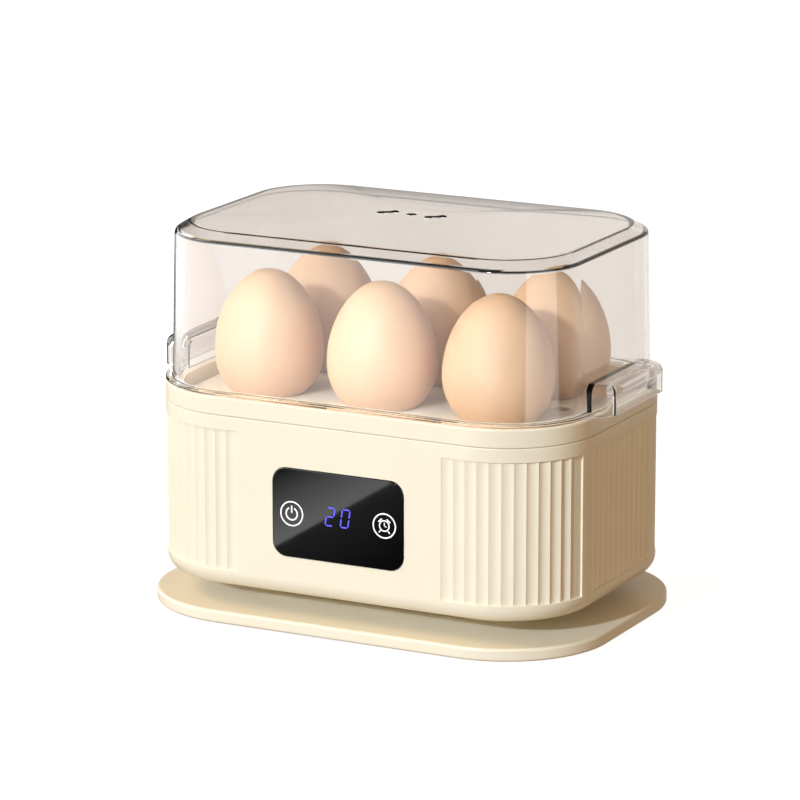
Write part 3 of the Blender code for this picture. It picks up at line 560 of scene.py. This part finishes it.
BRASS = moulded("brass_pins", (0.74, 0.55, 0.25), 0.06, (0.2, 0.32), 0.05, 150.0, 1.0)
BOARD = board_look()


def dress_nodes():
    """Give every carried-over CAD node its finish, by the slot in the record."""
    looks = {"cream_plastic": CREAM, "clear_plastic": CLEAR, "steel": STEEL,
             "black_glass": BLACK_GLASS, "black_plastic": BLACK, "ceramic": CERAMIC,
             "circuit_board": BOARD, "brass": BRASS, "silicone": SILICONE, "rubber": RUBBER}
    for part in frame["record"]["subparts"]:
        item = nodes[part["node"]]
        look = SHEATH if part["node"] == "heating_element" else looks[part["material_slot"]]
        item.data.materials.clear()
        item.data.materials.append(look)


# ---------------------------------------------------------------- housing

def outline_at(length, inset):
    """A point on the body's front right quarter, by the run from the front's middle."""
    radius = CORNER - inset
    if length < RUN_X:
        return length, -HALF_Y + inset
    if length < RUN_X + ARC:
        angle = (length - RUN_X) / CORNER
        return RUN_X + radius * math.sin(angle), -RUN_Y - radius * math.cos(angle)
    return HALF_X - inset, length - QUARTER


def evenly(start, end, pitch):
    """Lengths from start up to end, end left out."""
    count = max(1, math.ceil((end - start) / pitch))
    return [start + (end - start) * step / count for step in range(count)]


def flutes(start, end, count):
    """Stations across a row of scallops: (length, depth)."""
    pitch = (end - start) / count
    rows = []
    for flute in range(count):
        for step in range(STEPS_IN_FLUTE):
            part = step / STEPS_IN_FLUTE
            depth = FLUTE_RECESS + FLUTE_DEPTH * (1 - (2 * part - 1) ** 2)
            rows.append((start + (flute + part) * pitch, depth))
    return rows


def quarter_stations():
    """Stations of one quarter of the outline, from the front's middle to the end's middle."""
    rows = [(length, 0) for length in evenly(0, FLUTE_START - EDGE_RUN, PLAIN_PITCH)]
    rows.append((FLUTE_START - EDGE_RUN, 0))
    rows += flutes(FLUTE_START, FLUTE_END, CORNER_FLUTES)
    rows.append((FLUTE_END, FLUTE_RECESS))
    rows += [(length, FLUTE_DEPTH)
             for length in evenly(FLUTE_END + EDGE_RUN, MARGIN_END, MARGIN_PITCH)]
    rows.append((MARGIN_END, FLUTE_DEPTH))
    rows += [(length, 0)
             for length in evenly(MARGIN_END + EDGE_RUN, END_START - EDGE_RUN, MARGIN_PITCH)]
    rows.append((END_START - EDGE_RUN, 0))
    rows += flutes(END_START, QUARTER, END_FLUTES)
    rows.append((QUARTER, FLUTE_RECESS))
    return rows


def housing_loop(stations, inset, z, fluted):
    """The whole outline at one height, with the flutes pressed in where fluted is 1."""
    quarter = [outline_at(length, inset + depth * fluted) for length, depth in stations]
    right = quarter + [(x, -y) for x, y in reversed(quarter[:-1])]
    left = [(-x, y) for x, y in reversed(right[1:-1])]
    return [Vector((x, y, z)) for x, y in right + left]


def cut_front(piece, halves, corner, depths, centre_z):
    """Cut a round-cornered hole through a piece from the front; depth grows towards the front."""
    loops = [front_loop(rounded(*halves, corner, depth), centre_z) for depth in depths]
    combine(piece, loft(loops))


def glass_face():
    """The panel glass's half width, half height and middle height."""
    return (GLASS_HIGH.x, (GLASS_HIGH.z - GLASS_LOW.z) / 2, (GLASS_HIGH.z + GLASS_LOW.z) / 2)


def make_housing():
    """The fluted housing with its panel recess and inlet hole."""
    rows = [(LIP, BODY_BOTTOM, 0)]
    rows += [(FILLET * (1 - rise), BODY_BOTTOM + FILLET * drop, 0)
             for rise, drop in quarter_arc(10)]
    rows += [(0, FLUTE_BOTTOM - END_RAMP, 0), (0, FLUTE_BOTTOM, 1), (0, FLUTE_TOP, 1)]
    rows += [(0, FLUTE_TOP + END_RAMP, 0)]
    rows += [(TOP_EDGE * drop, BODY_TOP - TOP_EDGE * (1 - rise), 0)
             for rise, drop in quarter_arc(4)]
    rows += [(WALL, BODY_TOP, 0), (WALL, BODY_BOTTOM + FLOOR, 0), (LIP, BODY_BOTTOM + FLOOR, 0)]
    stations = quarter_stations()
    mesh = loft([housing_loop(stations, *row) for row in rows], ring=True)
    housing = add_mesh("housing", mesh, CREAM, "base", "cream_plastic", "body_shell")

    half_x, half_z, centre = glass_face()
    recess = (half_x + FIT_GAP, half_z + FIT_GAP)
    cut_front(housing, recess, GLASS_CORNER, (-GLASS_HIGH.y - FIT_GAP, HALF_Y + CUT_OVER), centre)
    cut_front(housing, WINDOW_HALF, WINDOW_CORNER, (HALF_Y - HOLE_DEPTH, HALF_Y), centre)
    inlet = tuple(half + FIT_GAP for half in INLET_HALF)
    depths = (-HALF_Y - CUT_OVER, -HALF_Y + HOLE_DEPTH)
    cut_front(housing, inlet, INLET_CORNER, depths, (INLET_HIGH.z + INLET_LOW.z) / 2)


def cut_upright(piece, centre, rows, steps=ROUND_STEPS):
    """Cut a turned hole that stands at a place, by its (radius, height) rows."""
    loops = [moved(circle(radius, z, steps), centre[0], centre[1]) for radius, z in rows]
    combine(piece, loft(loops))


def make_plinth():
    """The base plate with softly rounded edges and sockets for its feet and screws."""
    arc = quarter_arc(6)
    rows = [(PLINTH_EDGE * (1 - rise), PLINTH_LOW.z + PLINTH_EDGE * drop) for rise, drop in arc]
    rows += [(PLINTH_EDGE * (1 - rise), PLINTH_HIGH.z - PLINTH_EDGE * drop)
             for rise, drop in reversed(arc)]
    loops = [rounded(PLINTH_HIGH.x - inset, PLINTH_HIGH.y - inset, PLINTH_CORNER - inset, z,
                     PLINTH_STEPS) for inset, z in rows]
    plinth = add_mesh("base_plate", loft(loops), CREAM, "base", "cream_plastic", "plinth")
    for index in range(1, 5):
        low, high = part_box(f"foot_{index}")
        top = high.z + FOOT_GAP
        cut_upright(plinth, (low + high) / 2, [(FOOT_SOCKET, BELOW_FLOOR), (FOOT_SOCKET, top)])
        low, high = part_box(f"plinth_screw_{index}")
        for radius, top in ((SCREW_HEAD, low.z + SCREW_HEAD_RISE),
                            (SCREW_HOLE, PLINTH_HIGH.z + 1 * MM)):
            cut_upright(plinth, (low + high) / 2, [(radius, BELOW_FLOOR), (radius, top)], 24)


def make_rim():
    """The ring on the body that carries the tray and the lid."""
    ledge_top = TRAY_LOW.z + RIB_DEPTH - SLIDE_GAP
    ledge_bottom = ledge_top - LEDGE_THICK
    bottom = BODY_TOP + RIM_GROOVE
    top = RIM_HIGH.z
    rows = [(RIM_FIT, RIM_SEAT), (0.9 * MM, RIM_SEAT), (0.8 * MM, bottom), (0.25 * MM, bottom),
            (0.07 * MM, bottom + 0.07 * MM), (0, bottom + 0.25 * MM)]
    rows += [(RIM_EDGE * drop, top - RIM_EDGE * (1 - rise)) for rise, drop in quarter_arc(5)]
    rows += [(LAND - 0.4 * MM, top), (LAND - 0.1 * MM, top - 0.1 * MM), (LAND, top - 0.4 * MM)]
    rows += [(LAND, ledge_top), (LEDGE_REACH, ledge_top), (LEDGE_REACH, ledge_bottom)]
    rows += [(RIM_SKIRT, ledge_bottom), (RIM_SKIRT, RIM_LOW.z), (RIM_FIT, RIM_LOW.z)]
    loops = [body_loop(inset, z) for inset, z in rows]
    add_mesh("top_rim", loft(loops, ring=True), CREAM, "base", "cream_plastic", "rim_ring")


def make_tray():
    """The egg tray with its holes."""
    low, top = TRAY_LOW.z, TRAY_HIGH.z
    bottom = top - PLATE
    edge = HALF_X - TRAY_HIGH.x
    rib = LEDGE_REACH + SLIDE_GAP
    rows = [(rib + RIB_WALL, bottom), (rib + RIB_WALL, low), (rib, low), (rib, bottom),
            (edge, bottom)]
    rows += [(edge + PLATE_EDGE * drop, top - PLATE_EDGE * (1 - rise))
             for rise, drop in quarter_arc(4)]
    tray = add_mesh("egg_plate", loft([body_loop(inset, z) for inset, z in rows]), CREAM_TRAY,
                    "tray", "cream_plastic", "egg_tray")
    rows = [(EGG_HOLE, bottom - 2 * MM), (EGG_HOLE, top - 0.7 * MM),
            (EGG_HOLE + 0.2 * MM, top - 0.3 * MM), (EGG_HOLE + 2.3 * MM, top + 1.8 * MM)]
    for place in egg_places():
        cut_upright(tray, place, rows, 64)
    rows = [(STEAM_HOLE, bottom - 2 * MM), (STEAM_HOLE, top - 0.3 * MM),
            (STEAM_HOLE + 1.3 * MM, top + 1 * MM)]
    for side in (-1, 1):
        cut_upright(tray, (side * STEAM_X, 0), rows, SMALL_HOLE_STEPS)


def egg_places():
    """The six egg places, front row first, from left to right."""
    half = EGG_PITCH[1] / 2
    return [(column * EGG_PITCH[0], y) for y in (-half, half) for column in (-1, 0, 1)]


# ---------------------------------------------------------------- lid

def dome_rows(edge, scales):
    """Profile rows that rise from a flat edge to the middle."""
    return [(edge[0] * s, edge[1] * s, edge[2] * s, edge[3] + DOME * (1 - s ** 2))
            for s in scales]


def lid_loop(row):
    """The outline of one profile row: (half length, half depth, corner radius, rise)."""
    return rounded(row[0], row[1], row[2], LID_BOTTOM + row[3], LID_STEPS)


def lid_row(inset, rise):
    """The profile row at an inset from the body's outline."""
    return (HALF_X - inset, HALF_Y - inset, CORNER - inset, rise)


def lug_loop(inner_x, outer_x, half_y, radius, z, side, steps=10):
    """A loop that is square on the lid's side and has round corners outside."""
    loop = [Vector((inner_x, -half_y, z))]
    for flank, start in ((-1, -90), (1, 0)):
        for step in range(steps + 1):
            angle = math.radians(start + 90 * step / steps)
            x = outer_x - radius + radius * math.cos(angle)
            y = flank * (half_y - radius) + radius * math.sin(angle)
            loop.append(Vector((x, y, z)))
    loop.append(Vector((inner_x, half_y, z)))
    return [Vector((side * p.x, side * p.y, LID_BOTTOM + p.z)) for p in loop]


def leaf(z, steps=14):
    """A steam slot's outline: a slim S-shaped leaf along Y."""
    sides = []
    for side in (1, -1):
        for step in range(steps):
            part = side * (2 * step / steps - 1)
            bend = VENT_BEND * math.sin(math.pi * part)
            half = VENT_SLOT_WIDTH * (0.1 + 0.72 * math.sqrt(max(0, 1 - part ** 2)))
            sides.append(Vector((bend + side * half, part * VENT_SLOT_HALF, z)))
    return sides


def outline_gap(x, y, row):
    """Distance outside a row's rounded outline, negative inside it."""
    over_x = abs(x) - (row[0] - row[2])
    over_y = abs(y) - (row[1] - row[2])
    return math.hypot(max(over_x, 0), max(over_y, 0)) + min(max(over_x, over_y), 0) - row[2]


def paint_edge_shade(lid):
    """Mark the lid's two moulded edges for painted shade. The plastic looks dark there because it
    is seen end on, and the mark turns its colour near black.
    """
    layer = lid.data.attributes.new("edge", "FLOAT", "POINT")
    for vertex, value in zip(lid.data.vertices, layer.data):
        x, y, z = vertex.co
        for row, reach in ((PLATEAU, 0.5 * MM), (SHOULDER, 0.8 * MM)):
            if math.hypot(outline_gap(x, y, row), z - LID_BOTTOM - row[3]) < reach:
                value.value = 1.0


def lid_profile():
    """Profile rows of the lid's closed shell, from the middle of its ceiling to the roof's."""
    inner_top = tuple(v - ROOF_INSET for v in PLATEAU[:3]) + (PLATEAU[3] - LID_ROOF,)
    inner_shoulder = tuple(v - LID_WALL for v in SHOULDER[:3]) + (SHOULDER[3] - SHOULDER_DROP,)
    ceiling, roof = (dome_rows(row, DOME_SCALES) for row in (inner_top, PLATEAU))
    inner = [lid_row(FOOT_REACH + LID_WALL, 0), inner_shoulder, inner_top, ceiling[0]]
    inner = soften(inner, (0.9 * MM, 1.2 * MM))
    outer = [lid_row(0.25 * MM, 0), lid_row(0, 0.25 * MM), lid_row(0, FOOT_THICK - 0.3 * MM),
             lid_row(0.3 * MM, FOOT_THICK), lid_row(FOOT_REACH, FOOT_THICK), SHOULDER, PLATEAU,
             roof[0]]
    outer = soften(outer, (0, 0, 0, 0.5 * MM, 1.3 * MM, 0.9 * MM))
    return ceiling[::-1] + inner[-2::-1] + outer[:-1] + roof


def lug_loops(inner_x, wall, bottom, side):
    """A lug's outline rows, drawn in by a wall, with a round top edge."""
    rows = [(0, bottom)]
    rows += [(LUG_EDGE * drop, LUG_LIFT + LUG_HEIGHT - LUG_EDGE * (1 - rise) - wall)
             for rise, drop in quarter_arc(7)]
    return [lug_loop(inner_x, LUG_OUT - wall - inset, LUG_HALF_Y - wall - inset,
                     LUG_CORNER - wall, z, side) for inset, z in rows]


def make_lid():
    """The clear cover: a closed shell with lugs and steam vents."""
    mesh = loft([lid_loop(row) for row in lid_profile()])
    lid = add_mesh("clear_lid", mesh, CLEAR, "lid", "clear_plastic", "lid")

    lug_x = HALF_X - FOOT_REACH - LID_WALL * 0.7
    pocket_x = HALF_X - FOOT_REACH + 1.4 * MM
    for side in (1, -1):
        combine(lid, loft(lug_loops(lug_x, 0, LUG_LIFT, side)), "UNION")
        combine(lid, loft(lug_loops(pocket_x, LUG_WALL, -2 * MM, side)))

    roof = LID_BOTTOM + PLATEAU[3]
    heights = (roof - LID_ROOF - 1 * MM, roof + DOME + 2 * MM)
    cut_upright(lid, (0, 0), [(VENT_RADIUS, z) for z in heights], SMALL_HOLE_STEPS)
    for side in (-1, 1):
        slot = [moved(leaf(z), side * VENT_SLOT_X, 0, -VENT_SLOT_TURN) for z in heights]
        combine(lid, loft(slot))
    # Painted shade: dark lines on the lid's two moulded edges.
    paint_edge_shade(lid)


# ---------------------------------------------------------------- control panel

def make_panel():
    """The black glass of the control panel, with a polished edge."""
    half_x, half_z, centre = glass_face()
    front, back = -GLASS_LOW.y, -GLASS_HIGH.y
    rows = [(GLASS_BEVEL, back), (0, back + GLASS_BEVEL)]
    rows += [(GLASS_EDGE * drop, front - GLASS_EDGE * (1 - rise)) for rise, drop in quarter_arc(4)]
    loops = [front_loop(rounded(half_x - inset, half_z - inset, GLASS_CORNER - inset, depth, 12),
                        centre) for inset, depth in rows]
    add_mesh("panel_glass", loft(loops), BLACK_GLASS, "base", "black_glass", "control_glass")
    make_marks(centre, front)


def arc_band(mesh, place, radius, width, start, end, depths, steps=40):
    """A thin raised arc in the panel's plane; a full circle closes on itself."""
    full = abs(end - start) >= 360
    count = steps if full else steps + 1
    loops = []
    for step in range(count):
        angle = math.radians(start + (end - start) * step / steps)
        direction = Vector((math.cos(angle), 0, math.sin(angle)))
        corners = [(radius - width / 2, depths[0]), (radius + width / 2, depths[0]),
                   (radius + width / 2, depths[1]), (radius - width / 2, depths[1])]
        loops.append([place + direction * reach + Vector((0, -depth, 0))
                      for reach, depth in corners])
    skin(mesh, loops, ring=full)


def bar(mesh, place, start, end, width, depths):
    """A thin raised bar with cut corners between two points of the panel's plane."""
    along = Vector((end[0] - start[0], 0, end[1] - start[1]))
    length = along.length
    along.normalize()
    across = Vector((-along.z, 0, along.x)) * width / 2
    tip = width * 0.45
    outline = [(0, 0), (tip, -1), (length - tip, -1), (length, 0), (length - tip, 1), (tip, 1)]
    origin = place + Vector((start[0], 0, start[1]))
    loops = [[origin + along * reach + across * side + Vector((0, -depth, 0))
              for reach, side in outline] for depth in depths]
    skin(mesh, loops)


def power_mark(mesh, place, depths):
    """A broken ring with a bar in its gap."""
    arc_band(mesh, place, 2.55 * MM, 0.62 * MM, 117, 423, depths)
    bar(mesh, place, (0, 0.2 * MM), (0, 3.5 * MM), 0.6 * MM, depths)


def timer_mark(mesh, place, depths):
    """An alarm clock: a dial with two hands, two bells and two feet."""
    arc_band(mesh, place, 2.15 * MM, 0.5 * MM, 0, 360, depths)
    bar(mesh, place, (0, -0.15 * MM), (0, 1.4 * MM), 0.4 * MM, depths)
    bar(mesh, place, (0.15 * MM, -0.1 * MM), (1.1 * MM, -0.5 * MM), 0.4 * MM, depths)
    for side in (-1, 1):
        bar(mesh, place, (side * 1.0 * MM, 2.9 * MM), (side * 2.75 * MM, 1.4 * MM), 0.6 * MM,
            depths)
        bar(mesh, place, (side * 1.6 * MM, -1.9 * MM), (side * 2.5 * MM, -3.0 * MM), 0.5 * MM,
            depths)


def make_marks(centre, front):
    """Printed touch symbols and the lit two-digit display."""
    depths = tuple(front + depth for depth in MARK_DEPTHS)
    white = glowing("mark_white", (0.86, 0.85, 0.86), 0.35)
    blue = glowing("digit_blue", (0.09, 0.08, 0.78), 0.95)
    for name, x, z, draw in (("mark_power", -20.7 * MM, -0.3 * MM, power_mark),
                             ("mark_timer", 21.1 * MM, -0.2 * MM, timer_mark)):
        place = Vector((x, 0, centre + z))
        mesh = bmesh.new()
        arc_band(mesh, place, RING_RADIUS, RING_WIDTH, 0, 360, depths, 64)
        draw(mesh, place, depths)
        add_mesh(name, mesh, white, "base", "black_glass")

    mesh = bmesh.new()
    for x, segments in ((-3.3 * MM, "abged"), (3.5 * MM, "abcdef")):
        digit(mesh, Vector((x, 0, centre + 0.5 * MM)), segments, depths)
    add_mesh("display_digits", mesh, blue, "base", "black_glass")


def digit(mesh, place, segments, depths):
    """One slanted seven-segment digit."""
    ends = {"a": ((-1, 1), (1, 1)), "b": ((1, 1), (1, 0)), "c": ((1, 0), (1, -1)),
            "d": ((-1, -1), (1, -1)), "e": ((-1, 0), (-1, -1)), "f": ((-1, 1), (-1, 0)),
            "g": ((-1, 0), (1, 0))}
    for letter in segments:
        points = []
        for (x, z), (other_x, other_z) in (ends[letter], ends[letter][::-1]):
            x = x * DIGIT_HALF_X + DIGIT_GAP * (other_x - x) / 2
            z = z * DIGIT_HALF_Z + DIGIT_GAP * (other_z - z)
            points.append((x + z * DIGIT_LEAN, z))
        bar(mesh, place, *points, DIGIT_WIDTH, depths)


# ---------------------------------------------------------------- eggs and studio

def make_eggs():
    """Six eggs stood in the tray, as staging only: they are not part of the cooker."""
    rows = []
    for step in range(1, EGG_RINGS):
        angle = math.pi * step / EGG_RINGS
        half = EGG_LOWER if angle < math.pi / 2 else EGG_UPPER
        narrowing = 1 - EGG_NARROWING * max(0, -math.cos(angle)) ** 2
        radius = EGG_RADIUS * math.sin(angle) * narrowing
        rows.append((radius, EGG_BOTTOM + EGG_LOWER - half * math.cos(angle)))
    for index, ((x, y), warm) in enumerate(zip(egg_places(), EGG_WARMTH), start=1):
        mesh = loft([moved(circle(radius, z, 56), x, y) for radius, z in rows])
        egg = add_mesh(f"egg_{index}", mesh, egg_look(index, warm), "tray")


def add_sheet(name, look, points, z):
    """One flat face."""
    mesh = bmesh.new()
    mesh.faces.new([mesh.verts.new((x, y, z)) for x, y in points])
    return add_mesh(name, mesh, look, None)


def make_floor():
    """A very large pale floor that takes only a faint shadow."""
    look, tree, shader = start_look("studio_floor")
    shade = ramp(tree, spots(tree, 2.0), (0.22, 0.22, 0.22), (0.24, 0.24, 0.24))
    tree.links.new(shade, shader.inputs["Base Color"])
    shader.inputs["Roughness"].default_value = 0.9
    shader.inputs["Emission Color"].default_value = (*WHITE, 1)
    shader.inputs["Emission Strength"].default_value = 0.93
    corners = [(x * FLOOR_REACH, y * FLOOR_REACH) for x, y in ((-1, -1), (1, -1), (1, 1), (-1, 1))]
    floor = add_sheet("studio_floor", look, corners, 0)
    floor.visible_diffuse = False
    floor.visible_glossy = False


def make_card(name, points, start, end, first, last):
    """A glowing card on the floor, seen only in reflections, that fades along X."""
    look = bpy.data.materials.new(f"{name}_glow")
    look.use_nodes = True
    tree = look.node_tree
    tree.nodes.clear()
    place = add_node(tree, "ShaderNodeTexCoord")
    axes = add_node(tree, "ShaderNodeSeparateXYZ")
    fade = add_node(tree, "ShaderNodeMapRange",
                    {"From Min": start, "From Max": end, "To Min": first, "To Max": last})
    glow = add_node(tree, "ShaderNodeEmission")
    output = add_node(tree, "ShaderNodeOutputMaterial")
    tree.links.new(place.outputs["Object"], axes.inputs[0])
    tree.links.new(axes.outputs[0], fade.inputs["Value"])
    tree.links.new(fade.outputs[0], glow.inputs["Strength"])
    tree.links.new(glow.outputs[0], output.inputs["Surface"])
    card = add_sheet(name, look, points, CARD_RISE)
    card.visible_camera = False
    card.visible_diffuse = False
    card.visible_transmission = False
    card.visible_shadow = False


def make_cards():
    """Two cards that meet on one line, which crosses the panel from corner to corner."""
    for name, x, fade in (("panel_card_left", CARD_SIDES[0], (-0.154, -0.091, 0.0, 2.7)),
                          ("panel_card_right", CARD_SIDES[1], (-0.088, -0.03, 0.25, 0.01))):
        points = (CARD_NEAR, CARD_FAR, (x, CARD_FAR[1]), (x, CARD_NEAR[1]))
        make_card(name, points, *fade)


def glossy_sky(tree, azimuth, elevation):
    """What glossy surfaces and clear plastic see: studio panels and a pale back."""
    panels = calculate(tree, "ADD", band(tree, azimuth, -122.0, -26.2, 0.35),
                       band(tree, azimuth, 49.0, 97.0, 1.5))
    above = blend_step(tree, elevation, -12.6, -11.4)
    below_top = calculate(tree, "SUBTRACT", 1.0, blend_step(tree, elevation, 34.0, 40.0))
    tall = calculate(tree, "MULTIPLY", above, below_top)
    panels = calculate(tree, "MULTIPLY", panels, tall)
    back = calculate(tree, "ADD", band(tree, azimuth, -181.0, -146.5, 1.5),
                     band(tree, azimuth, 128.0, 181.0, 12.0))
    tall = calculate(tree, "MULTIPLY", blend_step(tree, elevation, -40.0, -24.0), below_top)
    back = calculate(tree, "MULTIPLY", back, tall)
    sky = mix_color(tree, panels, ROOM_DARK, PANEL_GLOW)
    behind = mix_color(tree, blend_step(tree, azimuth, -159.0, -150.0), BACK_FAR, BACK_NEAR)
    return mix_color(tree, back, sky, behind)


def ambient_sky(tree, right, azimuth, elevation):
    """The dim warm surround that lights plain surfaces, with a glow at the front right."""
    ambient = mix_color(tree, blend_step(tree, right, -0.3, 0.5), AMBIENT_LEFT, AMBIENT_RIGHT)
    ambient = mix_color(tree, blend_step(tree, elevation, 0.0, 70.0), ambient, AMBIENT_TOP)
    glow = calculate(tree, "MULTIPLY", band(tree, azimuth, 28.0, 78.0, 8.0),
                     band(tree, elevation, -20.0, 50.0, 10.0))
    return mix_color(tree, glow, ambient, AMBIENT_CORNER)


def make_world():
    """A white backdrop for the camera, studio panels for gloss and a warm dim surround."""
    world = bpy.data.worlds.new("studio")
    world.use_nodes = True
    bpy.context.scene.world = world
    tree = world.node_tree
    place = add_node(tree, "ShaderNodeTexCoord")
    axes = add_node(tree, "ShaderNodeSeparateXYZ")
    tree.links.new(place.outputs["Generated"], axes.inputs[0])
    to_front = calculate(tree, "MULTIPLY", axes.outputs[1], -1.0)
    turn = calculate(tree, "ARCTAN2", axes.outputs[0], to_front)
    azimuth = calculate(tree, "MULTIPLY", turn, DEGREES)  # 0 in front, positive to the right
    rise = calculate(tree, "ARCSINE", axes.outputs[2])
    elevation = calculate(tree, "MULTIPLY", rise, DEGREES)
    glossy = glossy_sky(tree, azimuth, elevation)
    ambient = ambient_sky(tree, axes.outputs[0], azimuth, elevation)

    path = add_node(tree, "ShaderNodeLightPath")
    clear = calculate(tree, "MAXIMUM", path.outputs["Is Glossy Ray"],
                      path.outputs["Is Transmission Ray"])
    color = mix_color(tree, clear, ambient, glossy)
    color = mix_color(tree, path.outputs["Is Camera Ray"], color, WHITE)
    tree.links.new(color, tree.nodes["Background"].inputs["Color"])


def add_sun(name, travel, energy, color, angle):
    """A sun that shines along a direction."""
    data = bpy.data.lights.new(name, "SUN")
    data.energy = energy
    data.angle = math.radians(angle)
    data.color = color
    light = bpy.data.objects.new(name, data)
    light.rotation_euler = Vector(travel).to_track_quat("-Z", "Y").to_euler()
    bpy.context.scene.collection.objects.link(light)


def make_lights():
    """A low, cool key from the front, and a weak warm fill from above the left."""
    add_sun("key", (0.13, 0.915, -0.38), 3.0, (0.72, 0.865, 1.0), 3.5)
    add_sun("fill", (0.66, 0.25, -0.71), 1.15, (1.0, 0.76, 0.42), 28.0)


def make_camera():
    """A long lens from the front right, a little above."""
    data = bpy.data.cameras.new("camera")
    data.lens = 205.5
    data.sensor_width = 36.0
    data.shift_x = -0.0145
    data.shift_y = 0.0356
    data.clip_end = 100.0
    camera = bpy.data.objects.new("camera", data)
    direction = Vector(VIEW_DIRECTION).normalized()
    camera.location = Vector(VIEW_TARGET) + direction * VIEW_DISTANCE
    camera.rotation_euler = (-direction).to_track_quat("-Z", "Y").to_euler()
    bpy.context.scene.collection.objects.link(camera)
    bpy.context.scene.camera = camera


bpy.context.scene.view_settings.view_transform = "Standard"
dress_nodes()
make_housing()
make_plinth()
make_rim()
make_tray()
make_lid()
make_panel()
make_eggs()
make_floor()
make_cards()
make_world()
make_lights()
make_camera()
even_normals()
